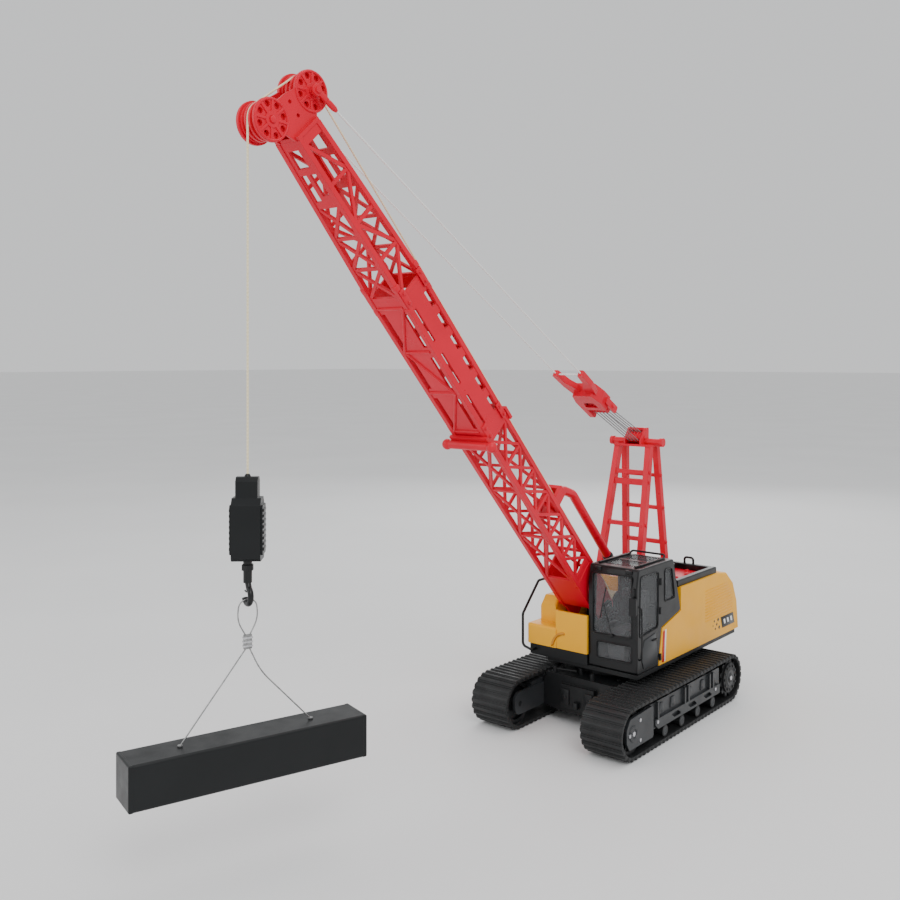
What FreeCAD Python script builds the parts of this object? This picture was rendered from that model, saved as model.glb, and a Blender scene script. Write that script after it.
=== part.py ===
import FreeCAD, Part
import math
import os

# Toy crawler crane. Millimetres, +Z up. The origin is on the ground under the slew axis,
# +X points forwards, the way the boom points, and +Y to the cab's side.

Vector = FreeCAD.Vector
Placement = FreeCAD.Placement
Rotation = FreeCAD.Rotation

SIZES = [
    # tracks and car body
    ("track_length", 270, "track, end to end over the pads"),
    ("track_height", 52, "track, ground to the top of the pads"),
    ("track_gauge", 132.2, "track centre to track centre"),
    ("belt_width", 45.4, "rubber belt width"),
    ("belt_skin", 2.5, "belt thickness without its pads"),
    ("pad_height", 2.0, "height of a pad over the belt"),
    ("pad_count", 76, "pads round one belt"),
    ("wheel_gap", 0.5, "gap between a wheel and the belt"),
    ("side_plate", 3.0, "thickness of a track frame's side plate"),
    ("axle_dia", 6.0, "idler axle"),
    ("shaft_dia", 8.0, "drive sprocket shaft"),
    ("running_gap", 0.05, "radial clearance of a running fit"),
    ("body_length", 132, "car body, front to back"),
    ("body_base", 12, "height of the car body's underside"),
    ("body_top", 50, "height of the car body's top"),
    ("ring_outer", 84, "slew ring outside diameter"),
    ("ring_inner", 60, "slew ring bore"),
    ("ring_height", 8, "slew ring height"),
    # superstructure
    ("deck_base", 58.5, "underside of the deck plate"),
    ("deck_top", 63, "top of the deck plate"),
    ("house_width", 125.2, "engine house width"),
    ("house_top", 136, "height of the engine house roof"),
    ("shell_wall", 2.5, "wall of the moulded covers"),
    ("cab_inner", 6.3, "cab wall beside the boom"),
    ("cab_top", 169, "height of the cab roof"),
    ("cab_wall", 3.0, "wall of the cab frame"),
    ("rim_height", 7, "height of the hood rim"),
    ("leg_width", 6.5, "gantry leg, across"),
    ("leg_spread", 52, "gantry legs, left to right at the foot"),
    ("leg_lean", 6, "how far each gantry leg leans in at the top"),
    # boom
    ("boom_angle", 46.6, "boom above the horizontal, degrees"),
    ("boom_side", -18, "plane of the boom beside the slew axis"),
    ("pivot_forward", 18, "boom foot pin ahead of the slew axis"),
    ("pivot_height", 116, "boom foot pin above the ground"),
    ("boom_width", 40, "boom across its chords"),
    ("boom_depth", 36, "boom depth over its chords"),
    ("tip_width", 27, "boom width at the head"),
    ("tip_depth", 29, "boom depth at the head"),
    ("tip_drop", 2.5, "fall of the centre line towards the boom's front at the head"),
    ("lower_joint", 278, "foot pin to the lower joint"),
    ("upper_joint", 448, "foot pin to the upper joint"),
    ("boom_reach", 606, "foot pin to the end of the lattice"),
    ("chord_bar", 4.5, "corner chord bar"),
    ("brace_bar", 3.0, "lattice brace"),
    ("lattice_skin", 2.2, "thickness of a lattice face"),
    ("foot_pin_dia", 6.0, "boom foot pin"),
    ("front_sheave_station", 631, "foot pin to the front sheave, along the boom"),
    ("rear_sheave_station", 625, "foot pin to the rear sheave, along the boom"),
    ("front_sheave_offset", -26, "front sheave off the boom's centre line"),
    ("rear_sheave_offset", 22, "rear sheave off the boom's centre line"),
    ("groove_radius", 13, "sheave groove"),
    ("sheave_radius", 15, "sheave rim"),
    ("sheave_width", 15, "sheave, across"),
    ("guard_radius", 16.5, "guard disc beside a sheave"),
    ("sheave_pin_dia", 5.0, "head sheave pin"),
    # ropes and load
    ("hoist_rope_dia", 1.6, "hoist rope"),
    ("pendant_dia", 1.7, "pendant cord"),
    ("luff_rope_dia", 0.9, "luffing rope"),
    ("sling_dia", 1.0, "sling wire"),
    ("drum_radius", 12, "hoist drum barrel"),
    ("block_top", 296, "top of the hook block"),
    ("block_turn", 42, "hook block's turn about the hoist rope, degrees"),
    ("beam_length", 180, "load beam"),
    ("beam_side", 32, "load beam's square section"),
    ("beam_base", 78, "underside of the load beam"),
    ("beam_turn", -17, "load beam's turn about the hoist rope, degrees"),
]

doc = FreeCAD.newDocument("toy_crawler_crane")
sheet = doc.addObject("Spreadsheet::Sheet", "Sizes")
for row, (alias, value, note) in enumerate(SIZES, start=1):
    sheet.set(f"A{row}", note)
    sheet.set(f"B{row}", str(value))
    sheet.setAlias(f"B{row}", alias)
doc.recompute()

NODES = []


def size(alias):
    """A driving dimension, read from the sheet."""
    return float(getattr(sheet, alias))


# ---------------------------------------------------------------- shape helpers

def keep(label, obj):
    """Make obj a sub-part of the crane, under its own name."""
    obj.Label = label
    NODES.append(obj)
    return obj


def feature(label, shape, placement=None):
    """A sub-part whose shape is worked out here, from sizes on the sheet."""
    obj = doc.addObject("Part::Feature", label)
    obj.Shape = shape
    if placement is not None:
        obj.Placement = placement
    return keep(label, obj)


def bind(obj, formulas):
    """Tie properties of obj to the sheet."""
    for prop, formula in formulas.items():
        obj.setExpression(prop, str(formula))
    return obj


def box_object(name, length, width, height, corner):
    """A Part::Box whose sizes and corner are formulas."""
    obj = doc.addObject("Part::Box", name)
    formulas = {"Length": length, "Width": width, "Height": height}
    for axis, formula in zip("xyz", corner):
        formulas[f"Placement.Base.{axis}"] = formula
    return bind(obj, formulas)


def cylinder_object(name, radius, length, start, direction):
    """A Part::Cylinder from start along direction, with formulas for its sizes."""
    obj = doc.addObject("Part::Cylinder", name)
    obj.Placement = Placement(Vector(), Rotation(Vector(0, 0, 1), direction))
    formulas = {"Radius": radius, "Height": length}
    for axis, formula in zip("xyz", start):
        formulas[f"Placement.Base.{axis}"] = formula
    return bind(obj, formulas)


def cut_object(name, base, tool):
    obj = doc.addObject("Part::Cut", name)
    obj.Base = base
    obj.Tool = tool
    return obj


def fuse_object(name, pieces):
    obj = doc.addObject("Part::MultiFuse", name)
    obj.Shapes = pieces
    return obj


def group_object(name, pieces):
    obj = doc.addObject("Part::Compound", name)
    obj.Links = pieces
    return obj


def body_pad(label, plane, outline, centre, depth):
    """A PartDesign body: an outline on an origin plane, padded both ways about centre by a sheet formula."""
    body = doc.addObject("PartDesign::Body", label)
    sketch = body.newObject("Sketcher::SketchObject", label + "_outline")
    for origin_feature in body.Origin.OriginFeatures:
        if origin_feature.Role == plane + "_Plane":
            sketch.AttachmentSupport = [(origin_feature, "")]
    sketch.MapMode = "FlatFace"
    side = -1 if plane == "XZ" else 1
    sketch.AttachmentOffset = Placement(Vector(0, 0, side * centre), Rotation())
    points = [Vector(a, b, 0) for a, b in outline]
    for start, end in zip(points, points[1:] + points[:1]):
        sketch.addGeometry(Part.LineSegment(start, end), False)
    pad = body.newObject("PartDesign::Pad", label + "_pad")
    pad.Profile = sketch
    pad.SideType = "Symmetric"
    pad.setExpression("Length", str(depth))
    sketch.Visibility = False
    body.Tip = pad
    return body


def lift(plane, a, b, level):
    """A point (a, b) of a drawing plane, level off that plane."""
    if plane == "XZ":
        return Vector(a, level, b)
    if plane == "YZ":
        return Vector(level, a, b)
    return Vector(a, b, level)


def rounded_wire(points, radius):
    """A closed wire through 3-D points in one plane, each corner rounded."""
    edges = []
    joints = []
    count = len(points)
    for i, corner in enumerate(points):
        back = points[i - 1] - corner
        ahead = points[(i + 1) % count] - corner
        half = back.getAngle(ahead) / 2
        reach = min(radius / math.tan(half), 0.45 * back.Length, 0.45 * ahead.Length)
        first = corner + back.normalize() * reach
        last = corner + ahead.normalize() * reach
        inward = ((first + last) * 0.5 - corner).normalize()
        bend = reach * math.tan(half)
        middle = corner + inward * (bend / math.sin(half) - bend)
        joints.append((first, middle, last))
    for i, (first, middle, last) in enumerate(joints):
        edges.append(Part.Arc(first, middle, last).toShape())
        edges.append(Part.LineSegment(last, joints[(i + 1) % count][0]).toShape())
    return Part.Wire(edges)


def slab(plane, outline, low, high, radius=0.0):
    """A prism on a drawing plane between two levels, with rounded corners if radius is set."""
    points = [lift(plane, a, b, low) for a, b in outline]
    if radius:
        wire = rounded_wire(points, radius)
    else:
        wire = Part.makePolygon(points + points[:1])
    return Part.Face(wire).extrude(lift(plane, 0, 0, high - low))


def block(low, high):
    """A box between two corners."""
    span = [b - a for a, b in zip(low, high)]
    return Part.makeBox(*span, Vector(*low))


def rod(start, end, radius):
    """A round bar between two points."""
    axis = Vector(*end) - Vector(*start)
    return Part.makeCylinder(radius, axis.Length, Vector(*start), axis)


def ring(centre, axis, outer, inner, length):
    """A round tube from centre along axis."""
    outside = Part.makeCylinder(outer, length, Vector(*centre), axis)
    return outside.cut(Part.makeCylinder(inner, length, Vector(*centre), axis))


def joined(shapes):
    """One solid made of shapes that overlap or share faces."""
    return shapes[0].multiFuse(shapes[1:]).removeSplitter()


def bent_path(points, radius=None):
    """Straight runs joined by tangent arcs. With no radius, each arc is as large as its runs allow."""
    corners = [Vector(*p) for p in points]
    edges = []
    start = corners[0]
    for i in range(1, len(corners) - 1):
        back = corners[i - 1] - corners[i]
        ahead = corners[i + 1] - corners[i]
        half = back.getAngle(ahead) / 2
        reach = 0.45 * min(back.Length, ahead.Length)
        if radius:
            reach = min(reach, radius / math.tan(half))
        first = corners[i] + back.normalize() * reach
        last = corners[i] + ahead.normalize() * reach
        bend = reach * math.tan(half)
        inward = ((first + last) * 0.5 - corners[i]).normalize()
        middle = corners[i] + inward * (bend / math.sin(half) - bend)
        edges.append(Part.LineSegment(start, first).toShape())
        edges.append(Part.Arc(first, middle, last).toShape())
        start = last
    edges.append(Part.LineSegment(start, corners[-1]).toShape())
    return Part.Wire(edges)


def sweep(path, radius):
    """A round tube along a wire. Its volume is compared with section times length."""
    edge = path.OrderedEdges[0]
    start = edge.valueAt(edge.FirstParameter)
    direction = edge.tangentAt(edge.FirstParameter)
    section = Part.Wire(Part.makeCircle(radius, start, direction))
    tube = path.makePipeShell([section], True, False)
    ideal = math.pi * radius**2 * path.Length
    if abs(tube.Volume / ideal - 1) > 0.02:
        raise RuntimeError(f"a swept tube's volume is off: {tube.Volume} for {ideal}")
    return tube


# ---------------------------------------------------------------- frames of the sub-assemblies

UP = Vector(0, 0, 1)
LEFT = Vector(0, 1, 0)
FORWARD = Vector(1, 0, 0)
RUNNING = size("running_gap")

# In the boom's frame X runs along the boom from the foot pin, Y is the row's Y and Z is the boom's back.
PIVOT = Vector(size("pivot_forward"), size("boom_side"), size("pivot_height"))
BOOM = Placement(PIVOT, Rotation(LEFT, -size("boom_angle")))


def from_boom(along, back, side=0.0):
    """The row position of a point given in the boom's frame."""
    return BOOM.multVec(Vector(along, side, back))


ROPE_RADIUS = size("hoist_rope_dia") / 2
ROPE_WRAP = size("groove_radius") + ROPE_RADIUS + 0.2
ROPE_BACK = size("rear_sheave_offset") + ROPE_WRAP
FRONT_SHEAVE = from_boom(size("front_sheave_station"), size("front_sheave_offset"))
REAR_SHEAVE = from_boom(size("rear_sheave_station"), size("rear_sheave_offset"))
HOIST_X = FRONT_SHEAVE.x + ROPE_WRAP
BOOM_Y = size("boom_side")


# ---------------------------------------------------------------- tracks and car body

BELT_OUTER = size("track_height") / 2
BELT_BACK = BELT_OUTER - size("pad_height")
BELT_INNER = BELT_BACK - size("belt_skin")
WHEEL_RADIUS = BELT_INNER - size("wheel_gap")
AXLE_Z = BELT_OUTER
AXLE_X = size("track_length") / 2 - BELT_OUTER
HALF_BELT = size("belt_width") / 2
PLATE = size("side_plate")
FRAME_HALF = HALF_BELT - 1.1


def loop_point(distance, radius):
    """A point on the belt's loop, distance counted along the run of the pads' own radius."""
    straight = 2 * AXLE_X
    turn = math.pi * BELT_OUTER
    distance %= 2 * (straight + turn)
    if distance < straight:
        return (-AXLE_X + distance, AXLE_Z + radius)
    distance -= straight
    if distance < turn:
        angle = math.pi / 2 - distance / BELT_OUTER
        return (AXLE_X + radius * math.cos(angle), AXLE_Z + radius * math.sin(angle))
    distance -= turn
    if distance < straight:
        return (AXLE_X - distance, AXLE_Z - radius)
    angle = -math.pi / 2 - (distance - straight) / BELT_OUTER
    return (-AXLE_X + radius * math.cos(angle), AXLE_Z + radius * math.sin(angle))


def loop_slab(radius, low, high):
    """A solid stadium round both axles."""
    outline = [(-AXLE_X, AXLE_Z - radius), (AXLE_X, AXLE_Z - radius)]
    outline += [(AXLE_X, AXLE_Z + radius), (-AXLE_X, AXLE_Z + radius)]
    middle = slab("XZ", outline, low, high)
    ends = [
        Part.makeCylinder(radius, high - low, Vector(x, low, AXLE_Z), LEFT)
        for x in (-AXLE_X, AXLE_X)
    ]
    return joined([middle] + ends)


def make_belt(label, centre):
    """A rubber belt with a row of cross pads round its outside."""
    count = int(size("pad_count"))
    pitch = (4 * AXLE_X + 2 * math.pi * BELT_OUTER) / count
    outline = []
    for i in range(count):
        start = (i + 0.2) * pitch
        outline.append(loop_point(start, BELT_BACK))
        outline.append(loop_point(start + 0.12 * pitch, BELT_OUTER))
        outline.append(loop_point(start + 0.68 * pitch, BELT_OUTER))
        outline.append(loop_point(start + 0.80 * pitch, BELT_BACK))
    low, high = centre - HALF_BELT, centre + HALF_BELT
    belt = slab("XZ", outline, low, high).cut(loop_slab(BELT_INNER, low, high))
    feature(label, belt)


def make_track_frame(label, side):
    """The frame inside a belt: a box beam, an inner plate to the car body and an outer plate."""
    centre = side * size("track_gauge") / 2

    def y_span(near, far):
        ends = (side * near, side * far)
        return min(ends), max(ends)

    inner = abs(centre) - FRAME_HALF
    outer = abs(centre) + FRAME_HALF
    beam_end = AXLE_X - WHEEL_RADIUS - 4
    low, high = y_span(inner + PLATE, outer - 7.5)
    beam = slab("XZ", [(-beam_end, 17), (beam_end, 17), (beam_end, 42), (-beam_end, 42)], low, high, 2)
    low, high = y_span(inner, inner + PLATE)
    reach = AXLE_X + 9
    inner_plate = slab("XZ", [(-reach, 15), (reach, 15), (reach, 38), (-reach, 38)], low, high, 8)
    low, high = y_span(outer - 7.5, outer - 3)
    web = [(-beam_end, 17), (beam_end, 17), (beam_end, 43), (-beam_end, 43)]
    outer_web = slab("XZ", web, low, high, 2)
    low, high = y_span(outer - 7.5, outer)
    rail = [(-beam_end + 4, 17), (60, 17), (66, 22), (66, 27), (-beam_end + 4, 27)]
    rail_bar = slab("XZ", rail, low, high, 1.5)
    for x in (-62, -26, 10):
        slot = [(x, 19.5), (x + 16, 19.5), (x + 24, 24.5), (x + 8, 24.5)]
        rail_bar = rail_bar.cut(slab("XZ", slot, low - 1, high + 1, 1))
    ear = [(beam_end - 14, 12), (AXLE_X + 8, 12), (AXLE_X + 13, 20), (AXLE_X + 13, 32)]
    ear += [(AXLE_X + 6, 41), (beam_end - 14, 43)]
    low, high = y_span(outer - PLATE, outer)
    idler_ear = slab("XZ", ear, low, high, 3)
    low, high = y_span(outer - 7.5, outer)
    ribs = [
        slab("XZ", [(x, 27), (x + 3, 27), (x + 3, 43), (x, 43)], low, high, 0.8)
        for x in (-66, -58, -8, 0, 58)
    ]
    low, high = y_span(outer - 7.5, outer - PLATE)
    ear_root = slab("XZ", [(beam_end - 12, 20), (beam_end, 20), (beam_end, 40), (beam_end - 12, 40)], low, high)
    frame = joined([beam, inner_plate, outer_web, rail_bar, idler_ear, ear_root] + ribs)
    start = Vector(AXLE_X, min(side * inner, side * outer) - 1, AXLE_Z)
    frame = frame.cut(Part.makeCylinder(size("axle_dia") / 2 + RUNNING, 2 * FRAME_HALF + 2, start, LEFT))
    low, high = y_span(inner - 1, inner + PLATE + 1)
    start = Vector(-AXLE_X, low, AXLE_Z)
    frame = frame.cut(Part.makeCylinder(size("shaft_dia") / 2 + RUNNING, high - low, start, LEFT))
    feature(label, frame)


def make_rollers(label, side):
    """Four moulded lower rollers under a track frame's outer rail."""
    outer = size("track_gauge") / 2 + FRAME_HALF
    rollers = []
    for i, x in enumerate((-63, -27, 9, 45)):
        roller = cylinder_object(f"{label}_{i}", 5.6, 13, (x, 0, 11), LEFT)
        edge = outer - 13.5 if side > 0 else -(outer - 0.5)
        roller.setExpression("Placement.Base.y", str(edge))
        rollers.append(roller)
    keep(label, group_object(label, rollers))


def turned(profile, centre, axis):
    """A solid turned about axis through centre from (distance along axis, radius) points."""
    points = [Vector(radius, 0, along) for along, radius in profile]
    face = Part.Face(Part.makePolygon(points + points[:1]))
    solid = face.revolve(Vector(), UP, 360)
    solid.Placement = Placement(Vector(*centre), Rotation(UP, axis))
    return solid


def make_idler(label, side):
    """The front wheel on its own axle, dished on its outer side."""
    inner = size("track_gauge") / 2 - FRAME_HALF
    width = 2 * FRAME_HALF
    hub, rim = 7.0, WHEEL_RADIUS
    axle = size("axle_dia") / 2
    profile = [(0.5, 0), (0.5, axle), (PLATE + 0.4, axle), (PLATE + 0.4, hub), (PLATE + 4, hub)]
    profile += [(PLATE + 4, rim - 4), (PLATE + 1, rim - 4), (PLATE + 1, rim)]
    profile += [(width - PLATE - 1, rim), (width - PLATE - 1, rim - 4), (width - PLATE - 4, rim - 4)]
    profile += [(width - PLATE - 4, hub), (width - PLATE - 0.4, hub), (width - PLATE - 0.4, axle)]
    profile += [(width - 0.2, axle), (width - 0.2, 0)]
    feature(label, turned(profile, (AXLE_X, side * inner, AXLE_Z), LEFT * side))


def make_sprocket(label, side):
    """The drive wheel: teeth, an outer disc with bolt heads and a shaft into the gearbox."""
    inner = size("track_gauge") / 2 - FRAME_HALF
    width = 2 * FRAME_HALF
    teeth = 12
    outline = []
    for i in range(teeth):
        for share, radius in ((0.0, 17.5), (0.2, WHEEL_RADIUS), (0.5, WHEEL_RADIUS), (0.7, 17.5)):
            angle = 2 * math.pi * (i + share) / teeth
            outline.append((radius * math.cos(angle), radius * math.sin(angle)))
    wheel = slab("XY", outline, PLATE + 0.4, width - 3.5)
    shaft = Part.makeCylinder(size("shaft_dia") / 2, PLATE + 9, Vector(0, 0, -8), UP)
    disc = turned([(width - 3.5, 0), (width - 3.5, 16), (width - 1.5, 16), (width - 1, 11), (width - 1, 0)],
                  (0, 0, 0), UP)
    bolts = []
    for i in range(6):
        angle = math.pi * i / 3
        centre = Vector(13 * math.cos(angle), 13 * math.sin(angle), width - 2)
        bolts.append(Part.makeCylinder(1.4, 1.7, centre, UP))
    cap = Part.makeCylinder(4.5, 1.4, Vector(0, 0, width - 1.2), UP)
    solid = joined([wheel, shaft, disc, cap] + bolts)
    turn = Rotation(UP, LEFT * side)
    feature(label, solid, Placement(Vector(-AXLE_X, side * inner, AXLE_Z), turn))


def make_undercarriage():
    gauge = size("track_gauge")
    inner = gauge / 2 - FRAME_HALF
    for name, side in (("left", 1), ("right", -1)):
        make_track_frame(f"{name}_track_frame", side)
        make_belt(f"{name}_track_belt", side * gauge / 2)
        make_rollers(f"{name}_track_rollers", side)
        make_sprocket(f"{name}_sprocket", side)
        make_idler(f"{name}_idler", side)

    waist = inner - 3
    section = [(-inner, 15), (-26, 12), (26, 12), (inner, 15), (inner, 44), (waist, 47)]
    section += [(waist, 50), (-waist, 50), (-waist, 47), (-inner, 44)]
    body = body_pad("car_body_block", "YZ", section, 0, "Sizes.body_length")
    bay = box_object("battery_bay", 76, 48, 28, (-38, -24, "Sizes.body_base - 1"))
    shell = cut_object("car_body_shell", body, bay)
    nose = box_object("nose_step", 6, 40, 24, ("Sizes.body_length / 2 - 1", -20, 18))
    tail = box_object("tail_step", 6, 40, 24, ("-Sizes.body_length / 2 - 5", -20, 18))
    bollards = [
        cylinder_object(f"bollard_{i}", 2.6, 7, (x, y, "Sizes.body_top - 1"), UP)
        for i, (x, y) in enumerate(((60, -34), (60, 12), (50, -8), (-58, -30), (-58, 30)))
    ]
    tie = cylinder_object("tie_rod", 1.2, 26, (55, -10, "Sizes.body_top + 3"), Vector(5, -24, 0))
    keep("car_body", fuse_object("car_body", [shell, nose, tail, tie] + bollards))

    keep("battery_cover", box_object("battery_cover", 75, 47, 2, (-37.5, -23.5, "Sizes.body_base")))
    keep("battery_pack", box_object("battery_pack", 62, 40, 20, (-31, -20, 15)))

    outside = cylinder_object("ring_outside", "Sizes.ring_outer / 2", "Sizes.ring_height",
                              (0, 0, "Sizes.body_top"), UP)
    bore = cylinder_object("ring_bore", "Sizes.ring_inner / 2", "Sizes.ring_height",
                           (0, 0, "Sizes.body_top"), UP)
    keep("slew_ring", cut_object("slew_ring", outside, bore))

    motors = []
    for side in (1, -1):
        start = (-AXLE_X, side * (inner - 15), AXLE_Z)
        motor = Part.makeCylinder(13, 15, Vector(*start), LEFT * side)
        gearbox = block((-AXLE_X, min(side * (inner - 13), side * inner), AXLE_Z - 9),
                        (-size("body_length") / 2, max(side * (inner - 13), side * inner), AXLE_Z + 9))
        bore_start = Vector(-AXLE_X, side * (inner - 9), AXLE_Z)
        hole = Part.makeCylinder(size("shaft_dia") / 2 + RUNNING, 9, bore_start, LEFT * side)
        motors.append(motor.fuse(gearbox).removeSplitter().cut(hole))
    feature("drive_motors", Part.makeCompound(motors))

    heads = []
    for side in (1, -1):
        face = side * (gauge / 2 + FRAME_HALF)
        for x, z in ((-68, 24), (62, 24.5), (AXLE_X - 12, 36), (AXLE_X - 12, 17), (AXLE_X + 8, 26)):
            heads.append(Part.makeCylinder(1.7, 0.9, Vector(x, face, z), LEFT * side))
    feature("track_frame_screws", Part.makeCompound(heads))


# ---------------------------------------------------------------- superstructure

HOUSE_HALF = size("house_width") / 2
WALL = size("shell_wall")
HOUSE_FRONT = -38.0
DECK_TOP = size("deck_top")
HOUSE_TOP = size("house_top")
# The rear of the house in side view, from the roof down to the deck.
HOUSE_BACK = [(-132, HOUSE_TOP), (-156, 132.5), (-173, 119), (-183.5, 96), (-188, DECK_TOP)]
OPENING_HALF = HOUSE_HALF - 9.6
OPENING_FRONT = HOUSE_FRONT - WALL
OPENING_REAR = -124.0


def make_deck():
    """The deck plate with the spigot that turns in the slew ring and the front skirt."""
    outline = [(-186, -52), (-176, -62), (40, -62), (56, -46), (56, 62), (-176, 62), (-186, 52)]
    deck = body_pad("deck_slab", "XY", outline, (size("deck_base") + DECK_TOP) / 2,
                    "Sizes.deck_top - Sizes.deck_base")
    spigot = cylinder_object("spigot", "Sizes.ring_inner / 2 - Sizes.running_gap",
                             "Sizes.deck_base - Sizes.body_top - 0.3", (0, 0, "Sizes.body_top + 0.3"), UP)
    skirt = box_object("skirt", 34, 72, 12, (25, -67, "Sizes.deck_top"))
    keep("deck_plate", fuse_object("deck_plate", [deck, spigot, skirt]))


def make_house():
    """The one-piece rear cover, open below and under the hood, with the tongue below the cab."""
    outline = [(HOUSE_FRONT, DECK_TOP), (HOUSE_FRONT, HOUSE_TOP)] + HOUSE_BACK
    outside = slab("XZ", outline, -HOUSE_HALF, HOUSE_HALF)
    long_edges = [
        e for e in outside.Edges
        if e.BoundBox.YLength < 0.01 and e.BoundBox.ZMax > DECK_TOP + 1
        and e.BoundBox.XMax < HOUSE_FRONT - 0.1
    ]
    outside = outside.makeFillet(4, long_edges)
    inner = [(HOUSE_FRONT - WALL, DECK_TOP - 1), (HOUSE_FRONT - WALL, HOUSE_TOP - WALL)]
    inner += [(-131, HOUSE_TOP - WALL), (-154, 130), (-170.5, 117), (-180.8, 95), (-185.3, DECK_TOP - 1)]
    shell = outside.cut(slab("XZ", inner, -HOUSE_HALF + WALL, HOUSE_HALF - WALL, 2))
    hatch = block((OPENING_REAR, -OPENING_HALF, HOUSE_TOP - 10), (OPENING_FRONT, OPENING_HALF, HOUSE_TOP + 5))
    shell = shell.cut(hatch)
    tongue_outline = [(HOUSE_FRONT, DECK_TOP), (11.9, DECK_TOP), (11.9, 66), (4.4, 100.4), (HOUSE_FRONT, 111)]
    tongue = slab("XZ", tongue_outline, HOUSE_HALF - 4, HOUSE_HALF)
    feature("house_shell", joined([shell, tongue]))

    low, high = HOUSE_TOP, HOUSE_TOP + size("rim_height")
    edge = OPENING_HALF + 7
    bars = [
        block((OPENING_REAR, OPENING_HALF, low), (HOUSE_FRONT + 2, edge, high)),
        block((OPENING_REAR, -edge, low), (HOUSE_FRONT + 2, -OPENING_HALF, high)),
        block((OPENING_REAR - 7, -edge, low), (OPENING_REAR, edge, high)),
    ]
    rim = joined(bars)
    top_edges = [e for e in rim.Edges if e.BoundBox.ZMin > high - 0.01]
    feature("hood_rim", rim.makeFillet(1.5, top_edges))

    keep("hood_panel", box_object("hood_panel", OPENING_FRONT - OPENING_REAR, 2 * OPENING_HALF, 2.5,
                                  (OPENING_REAR, -OPENING_HALF, "Sizes.house_top - 2.5")))
    loop_y = 22.0
    loop = bent_path([(-127.5, loop_y, high), (-127.5, loop_y, high + 7), (-127.5, loop_y + 11, high + 7),
                      (-127.5, loop_y + 11, high)], 3)
    feature("lifting_loop", sweep(loop, 1.3))

    weight = [(-150, DECK_TOP), (-150, 104), (-160, 104), (-170, 92), (-178, DECK_TOP)]
    keep("counterweight", body_pad("counterweight", "XZ", weight, 0, 108))


def make_front_cover():
    """The yellow cover beside and ahead of the boom foot."""
    centre = slab("YZ", [(-33, 75), (5.9, 75), (5.9, 115), (-33, 115)], 58, 61)
    lower = slab("XY", [(30, -70), (59, -70), (62, -67), (62, -32), (30, -32)], 75, 96)
    lower = lower.makeFillet(2.5, [e for e in lower.Edges if e.BoundBox.ZMin > 95.9])
    upper_profile = [(HOUSE_FRONT, DECK_TOP), (25, DECK_TOP), (25, 75), (45, 75), (45, 116), (38, 124)]
    upper_profile += [(HOUSE_FRONT, 124)]
    upper = slab("XZ", upper_profile, -HOUSE_HALF, -43)
    upper = upper.makeFillet(3, [e for e in upper.Edges if e.BoundBox.ZMin > 115.9 and e.BoundBox.YLength < 0.01])
    cover = joined([centre, lower, upper])
    lower_space = block((33, -67, 70), (59.5, -35, 93.5))
    upper_space = joined([block((HOUSE_FRONT - 1, -60, 60), (42.5, -45.5, 114)),
                          block((HOUSE_FRONT - 1, -60, 60), (35.5, -45.5, 121.4))])
    upper_space = upper_space.cut(block((24.9, -61, 60), (43, -45, 75)))
    cover = cover.cut(lower_space).cut(upper_space)
    groove = ring((60.2, -21, 76), FORWARD, 17, 13.5, 3)
    groove = groove.common(block((59, -40, 76), (64, -26, 95)))
    feature("front_cover", cover.cut(groove))


CAB_OUT = HOUSE_HALF
CAB_IN = size("cab_inner")
CAB_TOP = size("cab_top")
CAB_SIDE = [(12.2, DECK_TOP), (57, DECK_TOP), (58, 150), (54, CAB_TOP), (-21, CAB_TOP), (-37.8, 112),
            (5.4, 101.3), (12.2, 66)]


def cab_windows():
    """Every cab opening: plane, outline, the wall's levels and the corner radius."""
    front_low, front_high = 51.0, 60.0
    side_low, side_high = CAB_OUT - 6, CAB_OUT + 2
    inner_low, inner_high = CAB_IN - 2, CAB_IN + 6
    roof_low, roof_high = CAB_TOP - 6, CAB_TOP + 2
    return {
        "windscreen": ("YZ", [(11.5, 99), (55.5, 100), (55.5, 161), (11.5, 160)], front_low, front_high, 4),
        "lower_screen": ("YZ", [(16, 74), (55, 75), (55, 91), (16, 90)], front_low, front_high, 3),
        "door_glass": ("XZ", [(52, 101), (14.5, 104.5), (13, 160.5), (50, 160.5)], side_low, side_high, 4),
        "quarter_glass": ("XZ", [(-2, 128), (-23, 128), (-16.5, 160), (-2, 160)], side_low, side_high, 3),
        "inner_glass": ("XZ", [(49.5, 108), (0, 108), (-2, 160), (46, 160)], inner_low, inner_high, 4),
        "front_roof": ("XY", [(45, 17), (45, 51), (16, 51), (16, 17)], roof_low, roof_high, 3),
        "rear_roof": ("XY", [(10, 17), (10, 51), (-16, 51), (-16, 17)], roof_low, roof_high, 3),
    }


def shrunk(outline, by):
    """An outline pulled towards its middle by a distance at each corner, both ways."""
    mid_a = sum(a for a, b in outline) / len(outline)
    mid_b = sum(b for a, b in outline) / len(outline)
    return [(a + math.copysign(by, mid_a - a), b + math.copysign(by, mid_b - b)) for a, b in outline]


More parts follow.
